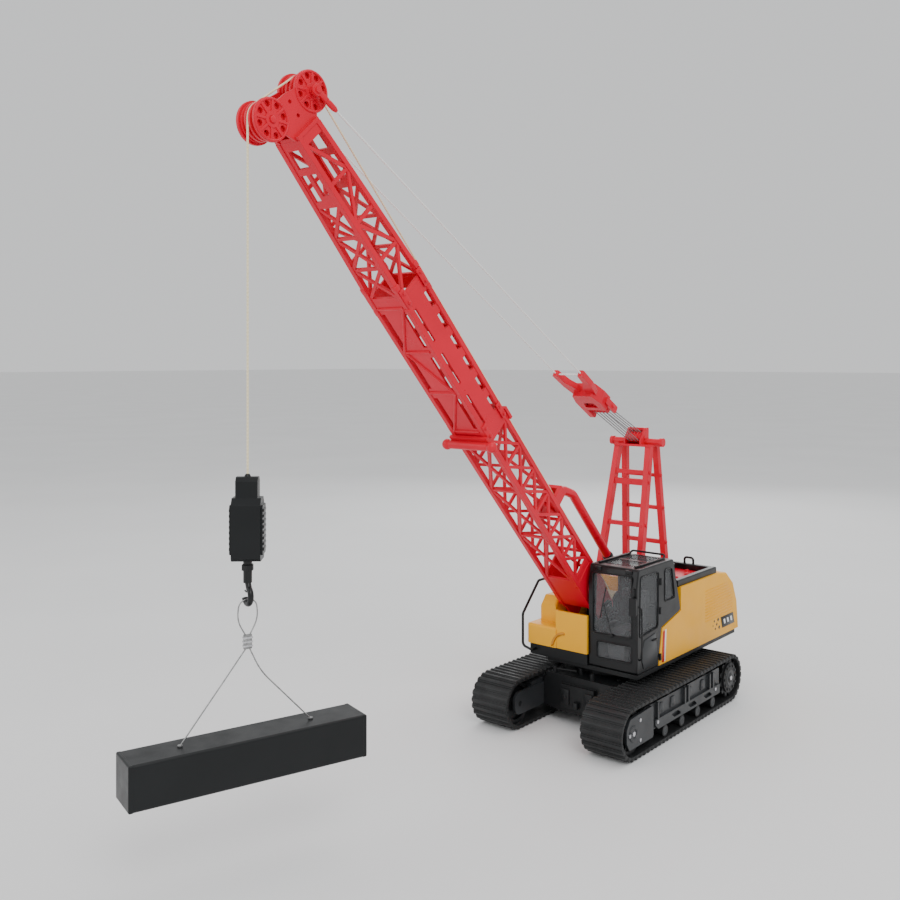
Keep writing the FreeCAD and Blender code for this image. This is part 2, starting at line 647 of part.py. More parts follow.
def make_cab():
    """The black cab frame, its panes, roof panels, seat and mirror."""
    wall = size("cab_wall")
    outside = slab("XZ", CAB_SIDE, CAB_IN, CAB_OUT, 3)
    upright = [e for e in outside.Edges if e.BoundBox.YLength < 0.01 and e.BoundBox.YMin > CAB_OUT - 0.01
               and e.BoundBox.ZMax > 140]
    outside = outside.makeFillet(1.5, upright)
    inner = [(15.2, DECK_TOP + wall), (54, DECK_TOP + wall), (54.8, 150), (51.5, CAB_TOP - wall)]
    inner += [(-18.8, CAB_TOP - wall), (-33.6, 114.2), (8, 104), (15.2, 68)]
    frame = outside.cut(slab("XZ", inner, CAB_IN + wall, CAB_OUT - wall, 2))
    panes = []
    roof_panes = []
    for name, (plane, outline, low, high, radius) in cab_windows().items():
        frame = frame.cut(slab(plane, outline, low, high, radius))
        if name == "inner_glass":
            pane_low, pane_high = CAB_IN + 0.6, CAB_IN + 1.6
        elif plane == "XZ":
            pane_low, pane_high = CAB_OUT - 2.2, CAB_OUT - 1.2
        elif plane == "YZ":
            pane_low, pane_high = 54.9, 55.9
        else:
            pane_low, pane_high = CAB_TOP - 1.6, CAB_TOP - 0.4
        pane = slab(plane, shrunk(outline, 0.05), pane_low, pane_high, radius)
        (roof_panes if plane == "XY" else panes).append(pane)
    rail = bent_path([(-12, CAB_IN + 8, CAB_TOP - 0.5), (-17, CAB_IN + 8, CAB_TOP + 4),
                      (-17, CAB_OUT - 8, CAB_TOP + 4), (-12, CAB_OUT - 8, CAB_TOP - 0.5)], 3)
    feature("cab_frame", joined([frame, sweep(rail, 1.1)]))
    feature("cab_windows", Part.makeCompound(panes))
    feature("cab_roof_panels", Part.makeCompound(roof_panes))

    y0, y1 = CAB_IN + 14, CAB_OUT - 14
    floor = DECK_TOP + wall
    pedestal = block((17, y0 + 4, floor), (38, y1 - 4, 92))
    cushion = slab("XZ", [(12, 92), (42, 92), (42, 100), (12, 99)], y0, y1, 2.5)
    back = slab("XZ", [(8, 105), (16, 99), (14, 138), (5, 138)], y0, y1, 2.5)
    link = block((11, y0 + 5, 92), (17, y1 - 5, 112))
    console = slab("XZ", [(40, floor), (50, floor), (50, 100), (44, 104), (40, 100)], y0 + 5, y1 - 5, 2)
    console_foot = block((36, y0 + 7, floor), (42, y1 - 7, floor + 4))
    feature("cab_seat", joined([pedestal, cushion, back, link, console_foot, console]))

    arm = bent_path([(58.1, CAB_OUT - 3, 150), (62, CAB_OUT - 3, 150), (62, CAB_OUT - 3, 141)], 2)
    glass = slab("YZ", [(CAB_OUT - 6, 124), (CAB_OUT + 2, 124), (CAB_OUT + 2, 142), (CAB_OUT - 6, 142)],
                 60.6, 63.6, 2)
    feature("cab_mirror", joined([sweep(arm, 1.0), glass]))


def make_handrail():
    """The grab rail at the right front corner."""
    side = -72.0
    route = [(59, -60, 69), (66, -60, 69), (66, side, 72), (66, side, 106), (36, side, 137)]
    route += [(2, side, 137), (-8, -60, 133), (-8, -58, 125.5)]
    feature("handrail", sweep(bent_path(route, 5), 1.4))


# ---------------------------------------------------------------- gantry

HEADER = Vector(-87, 0, 286)
LEG_HALF = size("leg_width") / 2
LEG_TOP = 281.0
GANTRY_ROLLER = Vector(-84, BOOM_Y, 291)
ROLLER_RADIUS = 4.6
ROLLER_PITCH = 4.4
ROLLER_HALF = 2 * ROLLER_PITCH


def leg_side(side, z):
    """Where a leg stands across the crane at a height: the legs lean in towards the top."""
    rise = (z - HOUSE_TOP) / (LEG_TOP - HOUSE_TOP)
    return BOOM_Y + side * (size("leg_spread") / 2 - size("leg_lean") * rise)


def legs(centres, depth):
    """Both legs of a gantry frame through (x, z) centres, depth thick from front to back."""
    result = []
    for side in (1, -1):
        sections = []
        for x, z in centres:
            y = leg_side(side, z)
            low, high = y - LEG_HALF, y + LEG_HALF
            corners = [(x - depth / 2, low), (x + depth / 2, low), (x + depth / 2, high), (x - depth / 2, high)]
            points = [Vector(a, b, z) for a, b in corners]
            sections.append(Part.makePolygon(points + points[:1]))
        result.append(Part.makeLoft(sections, True, True))
    return result


def cross_bar(x, z, depth, height):
    """A bar from leg to leg."""
    return block((x - depth / 2, leg_side(-1, z), z - height / 2), (x + depth / 2, leg_side(1, z), z + height / 2))


def make_gantry():
    """The A-frame behind the cab that carries the luffing ropes."""
    front = [(-45, HOUSE_TOP), (-73.5, 257), (-79, LEG_TOP)]
    bars = [cross_bar(-72, 252, 5, 5), cross_bar(-69.5, 241, 5, 7), cross_bar(-58.5, 194, 5, 5)]
    feature("gantry_front_frame", joined(legs(front, 8.5) + bars))
    rear = [(-107, HOUSE_TOP), (-95, LEG_TOP)]
    bars = [cross_bar(-97.8, 247, 4, 4), cross_bar(-101, 209, 4, 4.5), cross_bar(-104.3, 169, 4, 5),
            cross_bar(-106.4, 144, 4, 10)]
    feature("gantry_rear_frame", joined(legs(rear, 7) + bars))

    ends = [leg_side(side, LEG_TOP) for side in (1, -1)]
    reach = ends[0] - BOOM_Y + 12
    tube = rod((HEADER.x, BOOM_Y - reach, HEADER.z), (HEADER.x, BOOM_Y + reach, HEADER.z), 4)
    knobs = [
        rod((HEADER.x, BOOM_Y + side * reach - 2, HEADER.z), (HEADER.x, BOOM_Y + side * reach + 2, HEADER.z), 5)
        for side in (1, -1)
    ]
    plate = block((-99, ends[1] - LEG_HALF, LEG_TOP), (-74, ends[0] + LEG_HALF, LEG_TOP + 2.5))
    side_view = [(-94, LEG_TOP), (-75.5, LEG_TOP), (-75.5, 288), (-86, 302), (-94, 302)]
    housing = slab("XZ", side_view, BOOM_Y - ROLLER_HALF - 2.6, BOOM_Y + ROLLER_HALF + 2.6, 1)
    front_space = [(-91.5, LEG_TOP + 2.5), (-60, LEG_TOP + 2.5), (-60, 320), (-88, 320), (-88, 299), (-91.5, 299)]
    space = slab("XZ", front_space, BOOM_Y - ROLLER_HALF - 0.4, BOOM_Y + ROLLER_HALF + 0.4)
    head = joined([tube, plate, housing] + knobs).cut(space)
    reach = ROLLER_HALF + 3.4
    x, y, z = GANTRY_ROLLER
    pin = rod((x, y - reach, z), (x, y + reach, z), 2)
    feature("gantry_head", joined([head, pin]))
    feature("gantry_sheaves", turned(roller_profile(2 + RUNNING, ROLLER_RADIUS, 6.2), (x, y, z), LEFT))


def roller_profile(bore, groove, rim):
    """The half section of a roller with four rope grooves."""
    profile = [(-ROLLER_HALF, bore), (-ROLLER_HALF, rim)]
    for i in range(4):
        centre = (i - 1.5) * ROLLER_PITCH
        profile += [(centre - 1.6, rim), (centre - 0.8, groove), (centre + 0.8, groove), (centre + 1.6, rim)]
    return profile + [(ROLLER_HALF, rim), (ROLLER_HALF, bore)]


# ---------------------------------------------------------------- winches and boom mounting

DRUM = from_boom(-28, ROPE_BACK - size("drum_radius") - ROPE_RADIUS - 0.2)


def make_drum(label, centre, barrel, half_width):
    """A winch drum with two flanges, on its own shaft."""
    flange = barrel + 3
    w = half_width
    profile = [(-w - 3, 0), (-w - 3, 2.5), (-w, 2.5), (-w, flange), (-w + 1.5, flange), (-w + 1.5, barrel)]
    profile += [(w - 1.5, barrel), (w - 1.5, flange), (w, flange), (w, 2.5), (w + 3, 2.5), (w + 3, 0)]
    feature(label, turned(profile, centre, LEFT))


def bored(solid, x, z, radius):
    """solid with a hole through it along Y."""
    return solid.cut(Part.makeCylinder(radius, 400, Vector(x, -200, z), LEFT))


def make_winches():
    """The hoist and luffing winches with their motors, the slew motor and the circuit board."""
    half = 16.5
    y = BOOM_Y
    make_drum("hoist_drum", (DRUM.x, y, DRUM.z), size("drum_radius"), half)
    luff = (-76, y, 88)
    make_drum("luff_drum", luff, 10, half)
    cheeks = []
    for side in (1, -1):
        low, high = sorted((y + side * (half + 0.4), y + side * (half + 2.8)))
        outline = [(DRUM.x - 14, DECK_TOP), (DRUM.x + 16, DECK_TOP), (DRUM.x + 7, DRUM.z + 7),
                   (DRUM.x - 7, DRUM.z + 7)]
        hoist_cheek = slab("XZ", outline, low, high, 3)
        cheeks.append(bored(hoist_cheek, DRUM.x, DRUM.z, 2.5 + RUNNING))
        outline = [(luff[0] - 14, DECK_TOP), (luff[0] + 14, DECK_TOP), (luff[0] + 6, luff[2] + 7),
                   (luff[0] - 6, luff[2] + 7)]
        luff_cheek = slab("XZ", outline, low, high, 3)
        cheeks.append(bored(luff_cheek, luff[0], luff[2], 2.5 + RUNNING))
    feature("winch_frame", Part.makeCompound(cheeks))
    motors = [
        rod((luff[0], y - half - 3.5, luff[2]), (luff[0], y - half - 25, luff[2]), 9),
        rod((-60, 30, DECK_TOP), (-60, 30, DECK_TOP + 28), 12),
        rod((-108, -28, DECK_TOP + 10), (-108, 2, DECK_TOP + 10), 10),
    ]
    feature("winch_and_slew_motors", Part.makeCompound(motors))
    keep("circuit_board", box_object("circuit_board", 60, 40, 1.6, (-140, 12, "Sizes.deck_top + 6")))

    brackets = []
    pin_x, pin_z = PIVOT.x, PIVOT.z
    half = size("boom_width") / 2
    for low, high in ((y + half + 0.3, CAB_IN - 0.4), (y - half - 4.3, y - half - 0.3)):
        outline = [(pin_x - 16, DECK_TOP), (pin_x + 7, DECK_TOP), (pin_x + 7, pin_z + 4), (pin_x - 7, pin_z + 7)]
        brackets.append(bored(slab("XZ", outline, low, high, 3), pin_x, pin_z, size("foot_pin_dia") / 2))
    feature("boom_foot_brackets", Part.makeCompound(brackets))
    feature("boom_foot_pin", rod((pin_x, y - half - 4.3, pin_z), (pin_x, CAB_IN - 0.4, pin_z),
                                 size("foot_pin_dia") / 2))


# ---------------------------------------------------------------- boom

def shifted_line(start, end, distance):
    """A 2-D line moved to its left by distance."""
    along = (end - start).normalize()
    offset = Vector(-along.y, along.x, 0) * distance
    return start + offset, end + offset


def crossing(first, second):
    """Where two 2-D lines meet."""
    p, q = first
    r, s = second
    d1, d2 = q - p, s - r
    t = ((r.x - p.x) * d2.y - (r.y - p.y) * d2.x) / (d1.x * d2.y - d1.y * d2.x)
    return p + d1 * t


def inset(points, distances):
    """A counter-clockwise polygon with each side moved inwards by its own distance."""
    sides = [
        shifted_line(points[i], points[(i + 1) % len(points)], distances[i])
        for i in range(len(points))
    ]
    return [crossing(sides[i - 1], sides[i]) for i in range(len(sides))]


def crossed_bay(start, end, half_at, brace):
    """The four windows that an X of braces leaves in one bay of a lattice face."""
    a = [Vector(start, -half_at(start), 0), Vector(end, -half_at(end), 0)]
    a += [Vector(end, half_at(end), 0), Vector(start, half_at(start), 0)]
    centre = crossing((a[0], a[2]), (a[1], a[3]))
    return [inset([a[i], a[(i + 1) % 4], centre], [0, brace / 2, brace / 2]) for i in range(4)]


def slot(start, end, half_at, low_share, high_share):
    """One long window between two shares of a plated face's clear height."""
    points = []
    for station, share in ((start, low_share), (end, low_share), (end, high_share), (start, high_share)):
        half = half_at(station)
        points.append(Vector(station, -half + 2 * half * share, 0))
    return points


class Section:
    """A stretch of boom between two stations, tapering evenly in width and depth."""

    def __init__(self, start, end, width0, width1, depth0, depth1, drop=0.0):
        self.start, self.end = start, end
        self.widths, self.depths = (width0, width1), (depth0, depth1)
        self.drop = drop

    def share(self, station):
        return (station - self.start) / (self.end - self.start)

    def half_width(self, station):
        t = self.share(station)
        return (self.widths[0] * (1 - t) + self.widths[1] * t) / 2

    def half_depth(self, station):
        t = self.share(station)
        return (self.depths[0] * (1 - t) + self.depths[1] * t) / 2

    def middle(self, station):
        """The centre line's height: it falls towards the front along a tapering section."""
        return -self.drop * self.share(station)

    def corner(self, station, side, back):
        across = side * self.half_width(station)
        return Vector(station, across, self.middle(station) + back * self.half_depth(station))

    def chords(self):
        """Four square corner bars."""
        bar = size("chord_bar")
        bars = []
        for side in (1, -1):
            for back in (1, -1):
                ends = []
                for station in (self.start, self.end):
                    c = self.corner(station, side, back)
                    across = Vector(0, -side * bar, 0)
                    down = Vector(0, 0, -back * bar)
                    ends.append(Part.makePolygon([c, c + across, c + across + down, c + down, c]))
                bars.append(Part.makeLoft(ends, True, True))
        return bars

    def face(self, which, windows, recess=0.7):
        """A lattice face, 'left', 'right', 'back' or 'front', with its windows cut out."""
        skin = size("lattice_skin")
        sign = 1 if which in ("left", "back") else -1
        sideways = which in ("left", "right")
        half = self.half_depth if sideways else self.half_width

        def place(point):
            if sideways:
                side = sign * (self.half_width(point.x) - recess)
                return Vector(point.x, side, point.y + self.middle(point.x))
            back = sign * (self.half_depth(point.x) - recess)
            return Vector(point.x, point.y, back + self.middle(point.x))

        edge = 1.5
        outline = [Vector(self.start, -half(self.start) + edge, 0), Vector(self.end, -half(self.end) + edge, 0)]
        outline += [Vector(self.end, half(self.end) - edge, 0), Vector(self.start, half(self.start) - edge, 0)]
        wires = []
        for polygon in [outline] + windows:
            points = [place(p) for p in polygon]
            wires.append(Part.makePolygon(points + points[:1]))
        inward = Vector(0, -sign * skin, 0) if sideways else Vector(0, 0, -sign * skin)
        plate = Part.Face(wires[0]).extrude(inward)
        if len(wires) > 1:
            reach = inward * 3
            tools = []
            for wire in wires[1:]:
                tool = Part.Face(wire).extrude(reach)
                tool.translate(inward * -1)
                tools.append(tool)
            plate = plate.cut(tools)
        return plate

    def lattice(self, which, stations, brace):
        """Windows of crossed braces between each two stations."""
        bar = size("chord_bar")
        half = self.half_depth if which in ("left", "right") else self.half_width
        windows = []
        for start, end in zip(stations, stations[1:]):
            low, high = start + brace / 2, end - brace / 2
            windows += crossed_bay(low, high, lambda s: half(s) - bar, brace)
        return windows

    def zigzag(self, which, stations, brace):
        """The two windows that a single brace leaves in each bay; the braces fold up and down in turn."""
        bar = size("chord_bar")
        half = self.half_depth if which in ("left", "right") else self.half_width
        windows = []
        for i, (start, end) in enumerate(zip(stations, stations[1:])):
            low, high = start + brace / 2, end - brace / 2
            a = [Vector(low, bar - half(low), 0), Vector(high, bar - half(high), 0)]
            a += [Vector(high, half(high) - bar, 0), Vector(low, half(low) - bar, 0)]
            if i % 2:
                a = a[1:] + a[:1]
            windows.append(inset([a[0], a[1], a[2]], [0, 0, brace / 2]))
            windows.append(inset([a[0], a[2], a[3]], [brace / 2, 0, 0]))
        return windows

    def slots(self, which, spans, shares):
        """Long slots between two shares of the clear height, one in each span."""
        bar = size("chord_bar")
        half = self.half_depth if which in ("left", "right") else self.half_width
        return [slot(start, end, lambda s: half(s) - bar, *shares) for start, end in spans]


def stations(start, end, bays):
    return [start + (end - start) * i / bays for i in range(bays + 1)]


def make_boom_foot():
    """The foot section: plated at the pin, crossed lattice above it."""
    end = size("lower_joint")
    width, depth = size("boom_width"), size("boom_depth")
    brace = size("brace_bar")
    plated = 66.0
    section = Section(20, end, width, width, depth, depth)
    shapes = section.chords()
    wide = stations(plated, end - 3, 3)
    narrow = stations(plated, end - 3, 6)
    for which in ("left", "right"):
        shapes.append(section.face(which, section.lattice(which, narrow, brace)))
    shapes.append(section.face("front", section.lattice("front", wide, brace)))
    shapes.append(section.face("back", section.lattice("back", stations(24, end - 3, 5), brace)))
    ear = size("lattice_skin") + 1.5
    for side in (1, -1):
        low, high = sorted((side * width / 2, side * (width / 2 - ear)))
        outline = [(-13, -13), (10, -15), (24, -depth / 2), (plated - 6, -depth / 2), (plated - 6, depth / 2),
                   (24, depth / 2), (8, 15), (-13, 13)]
        shapes.append(slab("XZ", outline, low, high, 6))
    foot = joined(shapes)
    foot = bored(foot, 0, 0, size("foot_pin_dia") / 2 + RUNNING)
    feature("boom_foot_section", foot, BOOM)


def make_boom_middle():
    """The middle section: plated sides with long slots."""
    start, end = size("lower_joint"), size("upper_joint")
    width, depth = size("boom_width"), size("boom_depth")
    section = Section(start, end, width, width, depth, depth)
    shapes = section.chords()

    def spans(count, gap):
        marks = stations(start + 10, end - 8, count)
        return [(a + gap / 2, b - gap / 2) for a, b in zip(marks, marks[1:])]

    for which in ("left", "right"):
        windows = section.slots(which, spans(6, 9), (0.78, 0.98))
        windows += section.slots(which, spans(3, 14), (0.06, 0.16))
        shapes.append(section.face(which, windows))
    windows = section.slots("front", spans(3, 12), (0.02, 0.16))
    windows += section.slots("front", spans(3, 12), (0.84, 0.98))
    shapes.append(section.face("front", windows))
    windows = section.slots("back", spans(6, 8), (0.04, 0.44))
    windows += section.slots("back", spans(6, 8), (0.56, 0.96))
    shapes.append(section.face("back", windows))
    feature("boom_middle_section", joined(shapes), BOOM)


def make_boom_top():
    """The tapering top section: open lattice below, plated below the head."""
    start, end = size("upper_joint"), size("boom_reach")
    section = Section(start, end, size("boom_width"), size("tip_width"), size("boom_depth"), size("tip_depth"),
                      size("tip_drop"))
    brace = size("brace_bar")
    shapes = section.chords()
    for which in ("left", "right"):
        shapes.append(section.face(which, section.zigzag(which, stations(start + 2, end - 6, 4), brace)))
    for which in ("front", "back"):
        windows = section.lattice(which, stations(start + 2, end - 60, 3), brace)
        windows += section.slots(which, [(end - 55, end - 30)], (0.08, 0.40))
        windows += section.slots(which, [(end - 50, end - 30)], (0.60, 0.92))
        windows += section.slots(which, [(end - 24, end - 8)], (0.20, 0.80))
        shapes.append(section.face(which, windows))
    feature("boom_top_section", joined(shapes), BOOM)


def make_boom_collar():
    """The joint between the foot and middle sections: a flange and its cross tube."""
    station = size("lower_joint")
    half_width, half_depth = size("boom_width") / 2, size("boom_depth") / 2
    pieces = []
    for back in (1, -1):
        low, high = sorted((back * (half_depth + 0.05), back * (half_depth + 3.2)))
        pieces.append(block((station - 7, -half_width - 2, low), (station + 7, half_width + 2, high)))
    tube_z = -half_depth - 6.2
    tube = rod((station, -half_width - 7, tube_z), (station, half_width + 7, tube_z), 4)
    bulbs = [
        Part.makeSphere(5.2, Vector(station, side * (half_width + 6), tube_z)) for side in (1, -1)
    ]
    feature("boom_joint_collar", Part.makeCompound([pieces[0], joined([pieces[1], tube] + bulbs)]), BOOM)


SHEAVE_SPOTS = [
    (size("front_sheave_station"), size("front_sheave_offset")),
    (size("rear_sheave_station"), size("rear_sheave_offset")),
]


def disc_holes(station, offset, low, thick):
    """A guard disc's pin hole and its ring of spoke holes."""
    holes = [Part.makeCylinder(size("sheave_pin_dia") / 2, thick + 2, Vector(station, low - 1, offset), LEFT)]
    for i in range(8):
        angle = 2 * math.pi * (i + 0.5) / 8
        spot = Vector(station + 11.8 * math.cos(angle), low - 1, offset + 11.8 * math.sin(angle))
        holes.append(Part.makeCylinder(2.4, thick + 2, spot, LEFT))
    return holes


def make_head():
    """The T-shaped head: two cheeks with guard discs, joined by a web."""
    (front_s, front_n), (rear_s, rear_n) = SHEAVE_SPOTS
    base = size("boom_reach")
    inner_face = size("sheave_width") / 2 + 0.4
    thick = 2.2
    middle_s, middle_n = (front_s + rear_s) / 2, (front_n + rear_n) / 2
    cheeks = []
    for side in (1, -1):
        low, high = sorted((side * inner_face, side * (inner_face + thick)))
        outline = [(base, -17), (front_s - 8, front_n), (front_s + 8, front_n + 4), (middle_s + 10, middle_n),
                   (rear_s + 9, rear_n - 3), (rear_s - 8, rear_n), (base, 12)]
        plate = slab("XZ", outline, low, high)
        discs = [
            Part.makeCylinder(size("guard_radius"), thick, Vector(station, low, offset), LEFT)
            for station, offset in SHEAVE_SPOTS
        ]
        cheek = joined([plate] + discs)
        holes = []
        for station, offset in SHEAVE_SPOTS:
            holes += disc_holes(station, offset, low, thick)
        for along in (-9, 3):
            holes.append(Part.makeCylinder(1.6, thick + 2, Vector(middle_s + along, low - 1, middle_n), LEFT))
        cheeks.append(cheek.cut(holes))
    flange = block((base, -size("tip_width") / 2, -16.5), (base + 3, size("tip_width") / 2, 11.5))
    spacer = block((base, -inner_face, middle_n - 4), (middle_s + 4, inner_face, middle_n + 4))
    feature("boom_head", joined(cheeks + [flange, spacer]), BOOM)

    pins = []
    half = inner_face + thick + 1.2
    for (station, offset), extra in zip(SHEAVE_SPOTS, (0, 7.5)):
        start, end = (station, -half - extra, offset), (station, half + extra, offset)
        pins.append(rod(start, end, size("sheave_pin_dia") / 2))
    feature("sheave_pins", Part.makeCompound(pins), BOOM)


def make_sheave(label, centre):
    """A grooved wheel with spoke holes, turning on its pin."""
    half = size("sheave_width") / 2
    rim, groove = size("sheave_radius"), size("groove_radius")
    bore = size("sheave_pin_dia") / 2 + RUNNING
    profile = [(-half, bore), (-half, rim)]
    for middle in (-4.6, 0.0, 4.6):
        profile += [(middle - 1.35, rim), (middle - 0.95, groove), (middle + 0.95, groove), (middle + 1.35, rim)]
    profile += [(half, rim), (half, bore)]
    solid = turned(profile, (centre.x, centre.y, centre.z), LEFT)
    holes = []
    for i in range(6):
        angle = math.pi * i / 3
        spot = Vector(centre.x + 8 * math.cos(angle), centre.y - half - 1, centre.z + 8 * math.sin(angle))
        holes.append(Part.makeCylinder(2.2, 2 * half + 2, spot, LEFT))
    feature(label, solid.cut(holes))


BACKSTOP = 60.0


def make_backstop():
    """The backstop tube behind the boom, on its bracket, with a rubber buffer at its lower end."""
    top = size("boom_depth") / 2
    posts = []
    for side in (1, -1):
        low, high = sorted((side * 5.5, side * 9))
        posts.append(block((133, low, top), (145, high, 44)))
    cap = block((133, -9, 40), (145, 9, 44))
    foot = block((129, -12, top), (149, 12, top + 3))
    path = bent_path([(139, 0, 42), (127, 0, 52), (112, 0, BACKSTOP), (-1, 0, BACKSTOP)], 14)
    buffer_cap = rod((-3, 0, BACKSTOP), (8, 0, BACKSTOP), 5.6)
    feature("backstop_strut", joined(posts + [cap, foot, sweep(path, 4.8), buffer_cap]), BOOM)


# ---------------------------------------------------------------- pendants, bridle and ropes

BRIDLE_TIP = Vector(59, BOOM_Y, 366)
PENDANT = REAR_SHEAVE - BRIDLE_TIP
PENDANT_LENGTH = PENDANT.Length
BRIDLE = Placement(BRIDLE_TIP, Rotation(LEFT, -math.degrees(math.atan2(PENDANT.z, PENDANT.x))))
ARM_OFFSET = 15.6
HEAD_OFFSET = 16.0
BRIDLE_ROLLER_BACK = 76.0
BRIDLE_ROLLER_RADIUS = 3.6


def make_bridle():
    """The fork that joins the two pendant cords to the luffing ropes. Its frame's X points to the head."""
    arms = []
    for side in (1, -1):
        outline = [(2, side * (ARM_OFFSET + 3)), (2, side * (ARM_OFFSET - 3)), (-14, side * (ARM_OFFSET - 4.5)),
                   (-27, side * 4), (-46, side * 2), (-44, side * 13), (-22, side * (ARM_OFFSET + 2))]
        arms.append(slab("XY", outline, -3.4, 3.4, 1.5))
    deck = slab("XY", [(-34, -12), (-34, 12), (-50, 15.5), (-66, 15.5), (-66, -15.5), (-50, -15.5)], -8, 8, 2)
    hollow = slab("XY", [(-40, -8), (-40, 8), (-54, 11), (-70, 11), (-70, -11), (-54, -11)], -5.6, 5.6)
    window = slab("XY", [(-60, -8), (-60, 8), (-50, 6), (-50, -6)], -9, -5, 2)
    cheeks = []
    for side in (1, -1):
        low, high = sorted((side * (ROLLER_HALF + 0.6), side * 15.5))
        cheeks.append(slab("XZ", [(-64, -8), (-64, 8), (-78, 8), (-85, 3), (-85, -8)], low, high, 2))
        low, high = sorted((side * 15.5, side * 18))
        cheeks.append(slab("XZ", [(-56, -4), (-56, 4), (-80, 4), (-80, -4)], low, high, 1.5))
    roller = turned(roller_profile(0, BRIDLE_ROLLER_RADIUS, 5), (-BRIDLE_ROLLER_BACK, 0, 0), LEFT)
    pin = rod((-BRIDLE_ROLLER_BACK, -10, 0), (-BRIDLE_ROLLER_BACK, 10, 0), 2)
    fork = joined(arms + [deck]).cut([hollow, window])
    feature("bridle", joined([fork] + cheeks + [roller, pin]), BRIDLE)


def make_pendants():
    """The cord from the head's rear pin down to one arm, across, and back up, with its sockets."""
    radius = size("pendant_dia") / 2
    pieces = []
    for side in (1, -1):
        tip = Vector(2.1, side * ARM_OFFSET, 0)
        head = Vector(PENDANT_LENGTH - 22, side * HEAD_OFFSET, 0)
        cord = Part.makeCylinder(radius, (head - tip).Length, tip, head - tip)
        socket = Part.makeCylinder(2.4, 12, head - Vector(1, 0, 0), FORWARD)
        eye = block((PENDANT_LENGTH - 12, side * HEAD_OFFSET - 1.4, -2.4),
                    (PENDANT_LENGTH - 1, side * HEAD_OFFSET + 1.4, 2.4))
        boss = Part.makeCylinder(4.6, 2.8, Vector(PENDANT_LENGTH, side * HEAD_OFFSET - 1.4, 0), LEFT)
        bore = Part.makeCylinder(size("sheave_pin_dia") / 2, 5, Vector(PENDANT_LENGTH, side * HEAD_OFFSET - 2.5, 0), LEFT)
        pieces.append(joined([cord, socket, eye, boss]).cut(bore))
    across = rod((-1, -(ARM_OFFSET - 3.5), 0), (-1, ARM_OFFSET - 3.5, 0), radius)
    feature("pendant_cords", Part.makeCompound(pieces + [across]), BRIDLE)


def make_luff_ropes():
    """Four falls above and four below, between the bridle's roller and the gantry's sheaves."""
    radius = size("luff_rope_dia") / 2
    roller = BRIDLE.multVec(Vector(-BRIDLE_ROLLER_BACK, 0, 0))
    line = GANTRY_ROLLER - roller
    across = Vector(-line.z, 0, line.x).normalize()
    ropes = []
    for i in range(4):
        y = (i - 1.5) * ROLLER_PITCH
        for sign in (1, -1):
            start = roller + Vector(0, y, 0) + across * (sign * (BRIDLE_ROLLER_RADIUS + 0.1 + radius))
            end = GANTRY_ROLLER + Vector(0, y, 0) + across * (sign * (ROLLER_RADIUS + 0.3 + radius))
            ropes.append(Part.makeCylinder(radius, (end - start).Length, start, end - start))
    feature("luff_ropes", Part.makeCompound(ropes))


def make_hoist_rope():
    """The hoist rope: drum to boom guide, up the boom and over both sheaves, then down to the block."""
    (front_s, front_n), (rear_s, rear_n) = SHEAVE_SPOTS
    lean = math.atan2(rear_s - front_s, rear_n - front_n)
    turn = math.radians(size("boom_angle"))

    def around(station, offset, angle):
        """A point of the rope round a sheave, the angle counted from straight up the boom."""
        return Vector(station + ROPE_WRAP * math.cos(angle), 0, offset + ROPE_WRAP * math.sin(angle))

    rear_end, rear_start = -lean, math.pi / 2
    path = Part.Wire([
        Part.LineSegment(Vector(139, 0, ROPE_BACK), around(rear_s, rear_n, rear_start)).toShape(),
        Part.Arc(around(rear_s, rear_n, rear_start), around(rear_s, rear_n, (rear_start + rear_end) / 2),
                 around(rear_s, rear_n, rear_end)).toShape(),
        Part.LineSegment(around(rear_s, rear_n, rear_end), around(front_s, front_n, rear_end)).toShape(),
        Part.Arc(around(front_s, front_n, rear_end), around(front_s, front_n, (rear_end - turn) / 2),
                 around(front_s, front_n, -turn)).toShape(),
    ])
    feature("hoist_rope_boom", sweep(path, ROPE_RADIUS), BOOM)

    tangent = from_boom(-28, ROPE_BACK)
    guide_row = from_boom(139, ROPE_BACK)
    feature("hoist_rope_lower", rod(tuple(tangent), tuple(guide_row), ROPE_RADIUS))

    bottom = (HOIST_X, BOOM_Y, size("block_top"))
    top = (HOIST_X, BOOM_Y, FRONT_SHEAVE.z)
    feature("hoist_rope_hanging", rod(bottom, top, ROPE_RADIUS))


# ---------------------------------------------------------------- hook, sling and load

BEAM_TOP = size("beam_base") + size("beam_side")
LOAD = Placement(Vector(HOIST_X, BOOM_Y, 0), Rotation(UP, size("beam_turn")))
HOOK_BEND = 6.0
HOOK_CENTRE_Z = 209.6
HOOK_WIRE = 2.2
FERRULE_Z = 176.0
SLING_REACH = 50.0


BLOCK = Placement(Vector(HOIST_X, BOOM_Y, 0), Rotation(UP, size("block_turn")))


def make_hook_block():
    """The hook block: a chamfered body under a rounded cap, bored for the hook's shank."""
    top = size("block_top")
    cap_side = [(-6, top - 18), (6, top - 18), (6, top - 3), (3, top), (-3, top), (-6, top - 3)]
    cap = slab("XZ", cap_side, -8, 8, 1)
    side = [(-10, 238), (-8, 235.6), (8, 235.6), (10, 238), (10, 276), (6, 281), (-6, 281), (-10, 276)]
    body = slab("XZ", side, -10.6, 10.6, 0.8)
    cheeks = [
        slab("XZ", [(-8, 240), (8, 240), (8, 276), (-8, 276)], min(s * 10.6, s * 12), max(s * 10.6, s * 12), 2)
        for s in (1, -1)
    ]
    shape = joined([cap, body] + cheeks)
    shape = shape.cut(Part.makeCylinder(3.2 + RUNNING, 12, Vector(0, 0, 235), UP))
    shape = shape.cut(Part.makeCylinder(5, 4.2, Vector(0, 0, 243), UP))
    feature("hook_block", shape, BLOCK)


